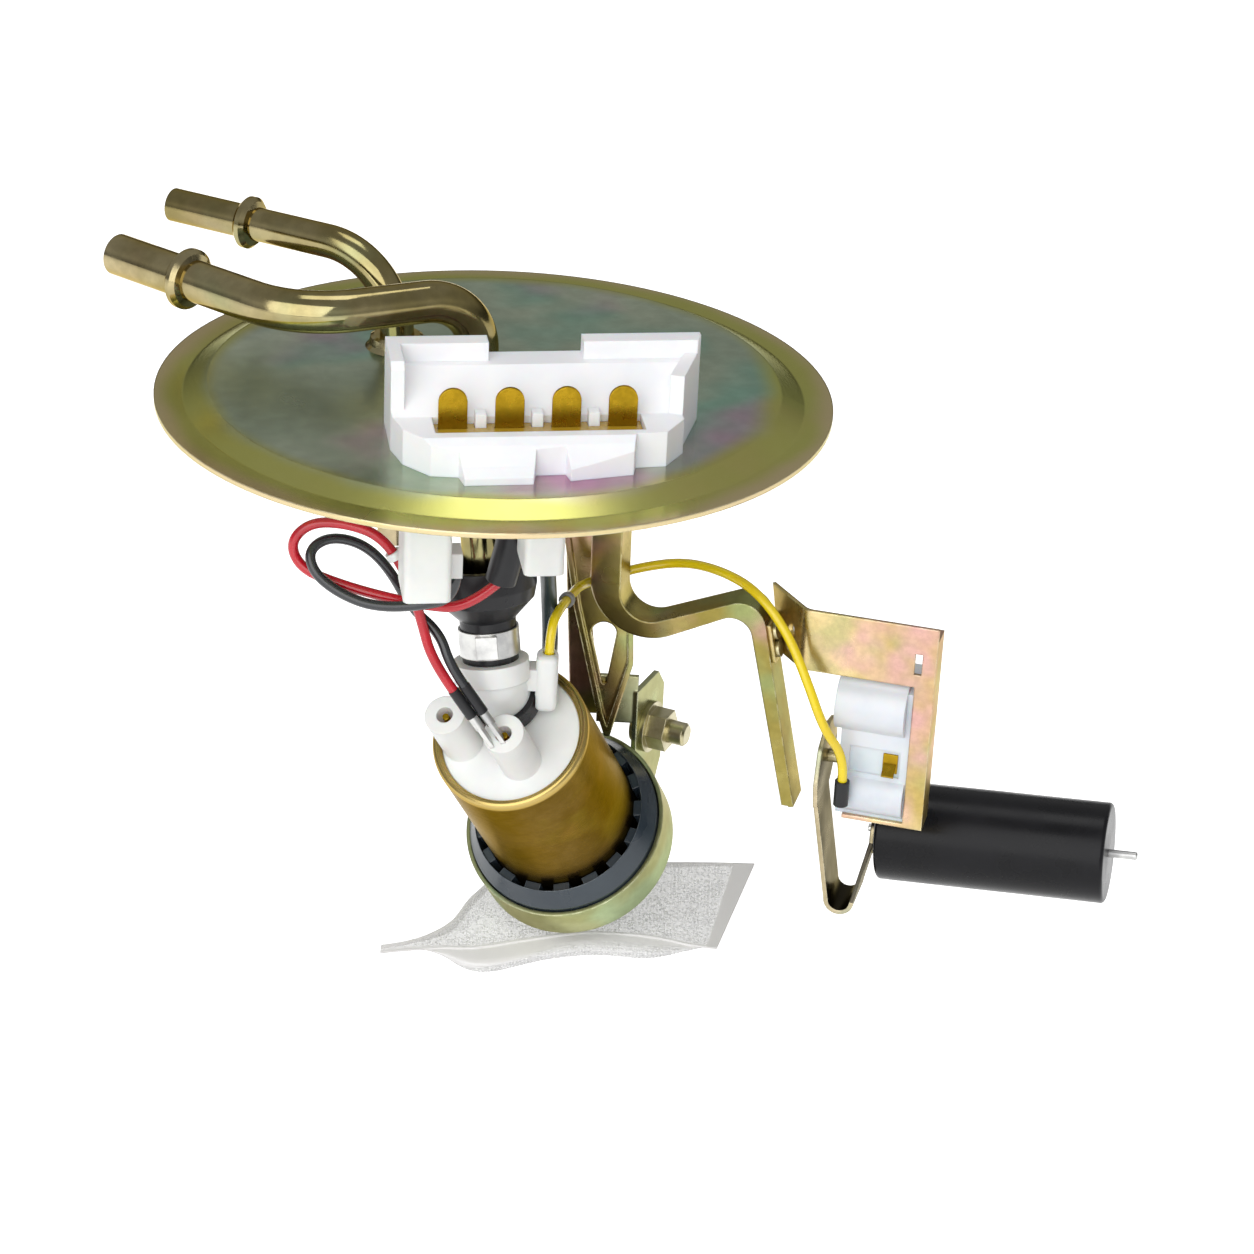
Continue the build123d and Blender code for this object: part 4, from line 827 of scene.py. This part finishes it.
RUBBER = MouldedPlastic(
    "black_rubber", colour=(0.014, 0.014, 0.016), shade=(0.022, 0.022, 0.024),
    edge=(0.04, 0.04, 0.045), rough=0.26, grain=0.15, index=1.36)
# Its lighter edges are wear and a painted highlight.
ISOLATOR = MouldedPlastic(
    "slate_rubber", colour=(0.024, 0.036, 0.050), shade=(0.038, 0.052, 0.066),
    edge=(0.16, 0.19, 0.21), rough=0.24, grain=0.14, edge_share=0.8)
STEEL = BareMetal("bright_steel")
STEEL_YELLOW = BareMetal(
    "yellow_steel", colour=(0.55, 0.50, 0.32), shade=(0.40, 0.36, 0.20), edge=(0.75, 0.72, 0.58))
SATIN_FLOAT = MouldedPlastic(
    "satin_black", colour=(0.006, 0.006, 0.007), rough=0.24, shade=(0.010, 0.010, 0.012),
    edge=(0.05, 0.05, 0.05), grain=0.08, grain_scale=2600.0, speckle=0.04, index=1.26)
GREY_TIE = MouldedPlastic(
    "grey_tie", colour=(0.2, 0.2, 0.21), shade=(0.26, 0.26, 0.27), edge=(0.4, 0.4, 0.4))
IRON = BareMetal("rotor_iron", colour=(0.24, 0.24, 0.25), shade=(0.16, 0.16, 0.16), rough=0.4)
COPPER = BareMetal(
    "copper_bars", colour=(0.60, 0.30, 0.18), shade=(0.45, 0.2, 0.12), edge=(0.8, 0.5, 0.36))
FERRITE = MouldedPlastic(
    "ferrite_magnet", colour=(0.05, 0.05, 0.052), shade=(0.08, 0.08, 0.08), edge=(0.2, 0.2, 0.2),
    rough=0.6, grain=0.4)
CARD = MouldedPlastic(
    "printed_card", colour=(0.08, 0.10, 0.08), shade=(0.12, 0.14, 0.1), edge=(0.3, 0.3, 0.25))
RED = WireSkin("red_insulation", colour=(0.60, 0.006, 0.02), dark=(0.44, 0.004, 0.014))
BLACK = WireSkin("black_insulation", colour=(0.012, 0.014, 0.018), dark=(0.02, 0.022, 0.026))
YELLOW = WireSkin("yellow_insulation", colour=(0.92, 0.70, 0.006), dark=(0.84, 0.60, 0.006))
DARK_SLEEVE = WireSkin(
    "dark_sleeve", colour=(0.018, 0.035, 0.04), dark=(0.03, 0.05, 0.055), rough=0.45)
CLOTH = FilterMesh("filter_mesh")

# The wires' routes, in millimetres.
RED_ROUTE: Route = (
    (3.7, -26.0, -34.3), (-3.5, -28.6, -40.7), (-14.0, -30.0, -39.5), (-24.0, -30.0, -37.6),
    (-33.0, -28.5, -35.9), (-41.5, -27.0, -33.4), (-44.3, -26.0, -27.4), (-39.5, -26.0, -22.0),
    (-31.0, -26.5, -21.7), (-23.0, -27.3, -24.3), (-17.2, -27.5, -33.7), (-14.0, -27.8, -44.6))
BLACK_ROUTE: Route = (
    (-5.7, -37.8, -27.05), (-5.8, -37.8, -33.4), (-13.5, -35.6, -37.0), (-24.0, -33.6, -38.9),
    (-32.0, -32.0, -36.9), (-38.2, -30.8, -32.6), (-39.8, -28.4, -28.0), (-35.4, -25.0, -25.9),
    (-28.2, -23.8, -27.6), (-22.2, -23.9, -33.0), (-16.5, -24.3, -43.4), (-9.8, -26.2, -48.4))
YELLOW_ROUTE: Route = (
    (14.9, -11.4, -64.0), (14.9, -11.4, -52.5), (17.2, -2.5, -51.6), (19.4, 9.5, -54.0),
    (21.3, 21.0, -57.0), (28.0, 27.3, -57.4), (35.5, 28.6, -55.2), (45.5, 26.8, -52.3),
    (54.5, 18.6, -50.2), (63.0, 9.5, -50.6), (70.6, 4.0, -58.2), (76.2, -1.0, -69.0),
    (80.8, -3.2, -80.5), (86.42, -0.87, -89.0), (86.42, -0.87, -95.5))
DARK_ROUTE: Route = (
    (13.06, -29.18, -19.0), (11.99, -22.82, -19.0), (13.6, -17.0, -30.5), (13.9, -7.5, -41.0),
    (14.2, -1.2, -50.5), (14.9, -1.0, -61.5), (14.9, -8.15, -61.5))

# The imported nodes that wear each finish.
WORN_BY: dict[Finish, str] = {
    FLANGE: "flange_plate",
    TUBE: "supply_tube return_tube supply_tube_collar return_tube_collar",
    PLUG_NYLON: "connector_housing",
    BLADE: "terminal_blades pump_terminal_pins sender_wiper sender_contact",
    RESIN: "terminal_sealant",
    NYLON: "connector_lower_left connector_lower_right pump_end_cap pump_inlet_cover "
           "outlet_adapter sock_neck white_tie",
    CAN: "pump_shell",
    FERRITE: "pump_magnets pump_brushes",
    IRON: "pump_armature",
    STEEL: "pump_shaft coupler_clamp adapter_buckle float_pin wire_terminals",
    COPPER: "pump_commutator",
    CARD: "pump_impeller pump_chamber resistor_card",
    ISOLATOR: "isolator_ring",
    ZINC_CUP: "cradle_cup cradle_bracket",
    RUBBER: "hose_coupler adapter_band yellow_end wire_boots wire_sleeve",
    ZINC: "hanger_strap rear_brace sender_arm",
    STEEL_YELLOW: "clamp_bolt clamp_nut sender_rivets sender_pivot",
    ZINC_SENDER: "sender_frame",
    NYLON_COOL: "sender_body",
    ZINC_LEVER: "float_arm",
    SATIN_FLOAT: "float",
    GREY_TIE: "grey_tie",
}


# ---- pieces
def finished(mesh: bmesh.types.BMesh, name: str) -> bpy.types.Object:
    """Turns an edited mesh into an object.

    Args:
        mesh: The edited mesh, which is freed.
        name: The object's name.

    Returns:
        The object, not yet linked.
    """
    data = bpy.data.meshes.new(name)
    mesh.to_mesh(data)
    mesh.free()
    return bpy.data.objects.new(name, data)


def keep_piece(obj: bpy.types.Object, finish: Finish, node: str) -> None:
    """Links a new piece and says what it rides on, looks like and stands for.

    Args:
        obj: The new object.
        finish: Its finish.
        node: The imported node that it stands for.
    """
    bpy.context.scene.collection.objects.link(obj)
    obj.data.materials.append(finish.material())
    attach(obj, MODULE_BODY)
    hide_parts(node)
    LOG.info("piece %s stands for %s", obj.name, node)


@dataclass
class Carried:
    """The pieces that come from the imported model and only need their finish."""

    worn_by: dict[Finish, str] = field(default_factory=lambda: WORN_BY)

    def dress(self) -> None:
        """Gives every shown node its finish."""
        finishes = {name: finish for finish, names in self.worn_by.items()
                    for name in names.split()}
        for name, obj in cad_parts.items():
            finish = finishes.get(name)
            if finish is None:
                continue
            obj.data.materials.clear()
            obj.data.materials.append(finish.material())
            LOG.info("finish %s on %s", finish.name, name)


@dataclass
class Wire:
    """One round wire along its route, which is given in millimetres."""

    name: str
    node: str
    route: Route
    radius_mm: float
    finish: Finish
    far_end: str
    slot: str
    stiffness: str = "limp"
    line: list[Vector] = field(default_factory=list)

    def curve(self) -> bpy.types.Object:
        """Makes the smooth line along the route.

        Returns:
            An unlinked curve object, still without thickness.
        """
        curve = bpy.data.curves.new(self.name, "CURVE")
        curve.dimensions = "3D"
        curve.resolution_u = 10
        curve.use_fill_caps = True
        spline = curve.splines.new("NURBS")
        spline.points.add(len(self.route) - 1)
        for point, place in zip(spline.points, self.route):
            point.co = (*metres(place), 1.0)
        spline.order_u = 3
        spline.use_endpoint_u = True
        return bpy.data.objects.new(self.name + "_line", curve)

    def build(self) -> bpy.types.Object:
        """Lays the wire as a round tube along its smooth line.

        Returns:
            The wire's object.
        """
        carrier = self.curve()
        centre = bpy.data.meshes.new_from_object(carrier)
        self.line = [vertex.co.copy() for vertex in centre.vertices]
        carrier.data.bevel_depth = self.radius_mm * MM
        carrier.data.bevel_resolution = 5
        tube = bpy.data.meshes.new_from_object(carrier)
        tube.shade_smooth()
        obj = bpy.data.objects.new(self.name, tube)
        bpy.data.meshes.remove(centre)
        bpy.data.curves.remove(carrier.data)
        keep_piece(obj, self.finish, self.node)
        return obj

    def declare(self, obj: bpy.types.Object, pieces: list[bpy.types.Object]) -> None:
        """Does nothing: the wire's exit, length, end and the pieces on it are not declared.

        Args:
            obj: The wire's object; not used.
            pieces: The nodes that ride on it; not used.
        """


@dataclass
class Harness:
    """All wires of the module; the ties, boots and terminals on them are listed but not attached.
    """

    terminal_up: Vector = field(default_factory=lambda: Vector((-0.56, 0.0, 0.83)).normalized())
    red_end: Point = (-6.29, -29.74, -60.99)
    black_end: Point = (-3.78, -29.34, -59.86)
    pump_wire_mm: float = 1.2
    yellow_wire_mm: float = 1.15
    dark_wire_mm: float = 1.9
    red_straight_mm: float = 9.0
    black_straight_mm: float = 6.0

    def above(self, end: Point, distance: float) -> Point:
        """A point of the route straight above a wire's end.

        Args:
            end: The wire's end, in millimetres.
            distance: How far above it, in millimetres.

        Returns:
            The point in millimetres.
        """
        return tuple(Vector(end) + self.terminal_up * distance)

    def wires(self) -> list[Wire]:
        """The wires with their routes in millimetres.

        Returns:
            The four wires, not yet laid.
        """
        red = Wire("red_lead", "red_wire",
                   (*RED_ROUTE, self.above(self.red_end, self.red_straight_mm), self.red_end),
                   self.pump_wire_mm, RED, "connector", "wire_red")
        black = Wire("black_lead", "black_wire",
                     (*BLACK_ROUTE, self.above(self.black_end, self.black_straight_mm),
                      self.black_end),
                     self.pump_wire_mm, BLACK, "connector", "wire_black")
        yellow = Wire("yellow_lead", "yellow_wire", YELLOW_ROUTE,
                      self.yellow_wire_mm, YELLOW, "connector", "wire_yellow")
        dark = Wire("dark_lead", "sender_harness", DARK_ROUTE,
                    self.dark_wire_mm, DARK_SLEEVE, "object", "sleeve_dark", "medium")
        return [red, black, yellow, dark]

    def build(self) -> None:
        """Lays every wire and passes it to declare, which does nothing."""
        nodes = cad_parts
        on_wire = {
            "red_lead": [nodes["wire_boots"], nodes["white_tie"]],
            "black_lead": [nodes["wire_terminals"]],
            "yellow_lead": [nodes["grey_tie"], nodes["yellow_end"]],
        }
        for wire in self.wires():
            obj = wire.build()
            wire.declare(obj, on_wire.get(wire.name, []))


@dataclass
class FilterBag:
    """The flat filter bag: a taut top layer and a sagging lower one, sealed along the rim."""

    front: Route = ((-24.6, 2.0, -152.2), (-17.5, 3.2, -151.8), (-9.0, 4.2, -151.3),
                                (-1.0, 4.6, -151.0), (10.0, 7.4, -150.2), (19.8, 9.6, -149.3),
                                (29.0, 11.2, -148.8), (42.0, 11.1, -149.3), (52.5, 10.0, -150.5),
                                (59.2, 9.9, -151.1))
    back: Route = ((-24.6, 4.6, -151.6), (-18.2, 6.6, -151.2), (-12.7, 10.4, -151.0),
                               (-7.6, 17.0, -150.8), (-3.0, 30.0, -150.8), (6.0, 44.6, -151.2),
                               (22.0, 48.4, -151.2), (40.0, 50.6, -151.0), (56.0, 52.2, -151.0),
                               (69.2, 53.2, -151.2))
    across: int = 190
    deep: int = 96
    seam_mm: float = 0.35
    end_band_mm: float = 5.2
    rim_band_mm: float = 1.3
    swell_mm: float = 1.5
    sag_mm: float = 5.6
    bulge_mm: float = 8.2
    length_mm: float = 92.0
    fade_mm: float = 9.0
    neck_at: tuple[float, float] = (29.8, 26.9)
    neck_reach_mm: float = 9.0
    neck_fade_mm: float = 12.0
    neck_height_mm: float = -149.35
    seal_soft_mm: float = 0.8
    narrow_from: float = 0.12
    narrow_fade: float = 0.3
    wide_fade: float = 0.25
    crease_mm: float = 0.5
    ripple_mm: float = 0.35
    top_ripple: float = 0.55
    low_ripple: float = 0.5

    @staticmethod
    def along(points: Route, share: float) -> Vector:
        """Follows a row of points smoothly.

        Args:
            points: The row.
            share: How far along it, from 0 to 1.

        Returns:
            The place on a smooth curve through the points.
        """
        place = min(max(share, 0.0), 0.99999) * (len(points) - 1)
        index = int(place)
        local = place - index
        here, after = Vector(points[index]), Vector(points[index + 1])
        before = Vector(points[max(index - 1, 0)])
        beyond = Vector(points[min(index + 2, len(points) - 1)])
        come, go = (after - before) / 2, (beyond - here) / 2
        cube, square = local ** 3, local ** 2
        return ((2 * cube - 3 * square + 1) * here + (cube - 2 * square + local) * come
                + (3 * square - 2 * cube) * after + (cube - square) * go)

    @staticmethod
    def ease(value: float, full: float) -> float:
        """A smooth step.

        Args:
            value: The value.
            full: Where the step is over.

        Returns:
            From 0 at 0 to 1 at full.
        """
        step = min(max(value / full, 0.0), 1.0)
        return step * step * (3.0 - 2.0 * step)

    def place(self, u: float, v: float, lower: bool) -> tuple[Vector, float]:
        """Puts one point of a layer.

        Args:
            u: The share of the bag's length, from the narrow end.
            v: The share of its depth, from the front seam.
            lower: Whether it is in the lower layer.

        Returns:
            The point in millimetres and how far it is sealed, from 0 to 1.
        """
        front, back = self.along(self.front, u), self.along(self.back, u)
        point = front.lerp(back, v)
        depth = (back - front).length
        to_end = (1.0 - u) * self.length_mm
        to_rim = min(v, 1.0 - v) * depth
        room = min(max(to_end - self.end_band_mm, 0.0), max(to_rim - self.rim_band_mm, 0.0))
        inside = min(to_end - self.end_band_mm, to_rim - self.rim_band_mm)
        sealed = 1.0 - self.ease(inside + self.seal_soft_mm / 2, self.seal_soft_mm)
        full = self.ease(room, self.fade_mm)
        wide = self.ease(u - self.narrow_from, self.narrow_fade)
        wide *= self.ease(1.0 - u, self.wide_fade)
        crease = math.sin(point.x * 0.30 + 1.4 * math.sin(point.y * 0.11))
        wave = math.sin(point.y * 0.42 - point.x * 0.13 + 1.0)
        ripple = self.crease_mm * crease + self.ripple_mm * wave
        if lower:
            push = self.ease(v, 0.05) * (1.0 - self.ease(v - 0.06, 0.34))
            point.y -= self.bulge_mm * wide * push
            drop = self.ease(v, 0.17) * (1.0 - 0.6 * self.ease(v - 0.3, 0.7))
            drop *= self.ease(1.0 - v, 0.06)
            fold = self.low_ripple * ripple * full
            point.z -= self.sag_mm * wide * drop + fold + self.seam_mm / 2
        else:
            fold = self.top_ripple * ripple
            point.z += full * (self.swell_mm * wide + fold) + self.seam_mm / 2
            near = math.hypot(point.x - self.neck_at[0], point.y - self.neck_at[1])
            flat = 1.0 - self.ease(near - self.neck_reach_mm, self.neck_fade_mm)
            point.z += (min(point.z, self.neck_height_mm) - point.z) * flat
        return point, sealed

    def build(self) -> None:
        """Shapes two layers from flat grids and joins them round the rim."""
        mesh = bmesh.new()
        uv = mesh.loops.layers.uv.new("cloth")
        sealed = mesh.verts.layers.float.new("sealed")
        for lower in (False, True):
            grid = bmesh.ops.create_grid(mesh, x_segments=self.across, y_segments=self.deep,
                                         size=0.5)
            for vert in grid["verts"]:
                u, v = vert.co.x + 0.5, vert.co.y + 0.5
                point, share = self.place(u, v, lower)
                vert.co = point * MM
                vert[sealed] = share
            if lower:
                flipped = {face for vert in grid["verts"] for face in vert.link_faces}
                bmesh.ops.reverse_faces(mesh, faces=list(flipped))
        rims = [edge for edge in mesh.edges if edge.is_boundary]
        bmesh.ops.bridge_loops(mesh, edges=rims)
        for face in mesh.faces:
            face.smooth = True
            for loop in face.loops:
                loop[uv].uv = (loop.vert.co.x, loop.vert.co.y)
        bmesh.ops.recalc_face_normals(mesh, faces=mesh.faces)
        obj = finished(mesh, "filter_bag")
        keep_piece(obj, CLOTH, "filter_sock")


# ---- stage
@dataclass
class Studio:
    """Floor, world, lamps and camera."""

    floor_colour: Colour = (0.82, 0.82, 0.82)
    floor_z: float = -0.172
    floor_size: float = 30.0
    floor_glow: float = 0.9
    dark: float = 0.08
    ceiling: float = 0.5
    wall: float = 0.5
    camera_at: Point = (32.805, -740.78, 310.18)
    pitch_down_deg: float = 26.394
    roll_deg: float = 2.797
    lens_mm: float = 100.48
    sensor_mm: float = 36.0
    nearest: float = 0.01
    aim: Point = (0.02, 0.0, -0.05)
    front_span = (0.25, -0.75)
    low_span = (0.75, 0.05)
    back_span = (0.05, 0.42)
    ground_span = (0.0, -0.04)
    lamps = (("front", (-0.35, -1.10, 0.56), 1.4, 15.0), ("top", (0.03, 0.20, 0.90), 0.4, 1.2))

    def floor(self) -> None:
        """A pale floor that keeps a soft shadow."""
        mesh = bmesh.new()
        bmesh.ops.create_grid(mesh, x_segments=1, y_segments=1, size=self.floor_size / 2)
        bmesh.ops.translate(mesh, vec=(0, 0, self.floor_z), verts=mesh.verts)
        obj = finished(mesh, "floor")
        bpy.context.scene.collection.objects.link(obj)
        material = bpy.data.materials.new("pale_floor")
        material.use_nodes = True
        tree = Tree(material.node_tree)
        diffuse = tree.feed(tree.add("ShaderNodeBsdfDiffuse"), Color=(*self.floor_colour, 1.0))
        glow = tree.add("ShaderNodeEmission")
        path = tree.add("ShaderNodeLightPath")
        seen = tree.math("MAXIMUM", path.outputs["Is Camera Ray"], path.outputs["Is Glossy Ray"])
        tree.feed(glow, Strength=tree.math("MULTIPLY", seen, self.floor_glow))
        both = tree.add("ShaderNodeAddShader", diffuse.outputs[0], glow.outputs[0])
        tree.add("ShaderNodeOutputMaterial", both.outputs[0])
        obj.data.materials.append(material)

    def world(self) -> None:
        """A studio round the object: bright in front and low down, dark above and behind."""
        world = bpy.data.worlds.new("studio")
        bpy.context.scene.world = world
        world.use_nodes = True
        tree = Tree(world.node_tree)
        direction = tree.add("ShaderNodeTexCoord").outputs["Generated"]
        split = tree.add("ShaderNodeSeparateXYZ", direction)
        height, depth = split.outputs["Z"], split.outputs["Y"]
        front = tree.span(depth, *self.front_span)
        low = tree.span(height, *self.low_span)
        wall = tree.math("MULTIPLY", tree.math("MULTIPLY", front, low), self.wall)
        back = tree.span(height, *self.back_span, self.dark, self.ceiling)
        floor = tree.span(height, *self.ground_span)
        light = tree.math("MAXIMUM", tree.math("ADD", wall, back), floor)
        path = tree.add("ShaderNodeLightPath")
        studio = tree.feed(tree.add("ShaderNodeBackground"), Strength=light)
        white = tree.feed(tree.add("ShaderNodeBackground"), Color=(1, 1, 1, 1), Strength=1.0)
        mix = tree.add("ShaderNodeMixShader", path.outputs["Is Camera Ray"], studio.outputs[0],
                       white.outputs[0])
        tree.add("ShaderNodeOutputWorld", mix.outputs[0])

    def lamp(self, name: str, place: Point, size: float, power: float) -> None:
        """An area lamp that faces the module.

        Args:
            name: The lamp's name.
            place: Where it stands, in metres.
            size: The side of its square, in metres.
            power: Its power in watts.
        """
        data = bpy.data.lights.new(name, "AREA")
        data.shape = "SQUARE"
        data.size = size
        data.energy = power
        obj = bpy.data.objects.new(name, data)
        obj.location = place
        towards = Vector(self.aim) - Vector(place)
        obj.rotation_euler = towards.to_track_quat("-Z", "Y").to_euler()
        bpy.context.scene.collection.objects.link(obj)

    def camera(self) -> None:
        """The camera, looking down at the module."""
        data = bpy.data.cameras.new("camera")
        data.lens = self.lens_mm
        data.sensor_width = self.sensor_mm
        data.clip_start = self.nearest
        obj = bpy.data.objects.new("camera", data)
        turn = Matrix.Rotation(math.radians(90.0 - self.pitch_down_deg), 4, "X")
        roll = Matrix.Rotation(math.radians(self.roll_deg), 4, "Z")
        obj.matrix_world = Matrix.Translation(metres(self.camera_at)) @ turn @ roll
        bpy.context.scene.collection.objects.link(obj)
        bpy.context.scene.camera = obj

    def build(self) -> None:
        """Sets up the whole stage."""
        self.floor()
        self.world()
        for lamp in self.lamps:
            self.lamp(*lamp)
        self.camera()
        bpy.context.scene.view_settings.view_transform = "Standard"


def main() -> None:
    """Builds the stage, the carried pieces and the new ones."""
    logging.basicConfig(level=logging.INFO)
    Studio().build()
    Carried().dress()
    Harness().build()
    FilterBag().build()


if __name__ == "__main__":
    main()
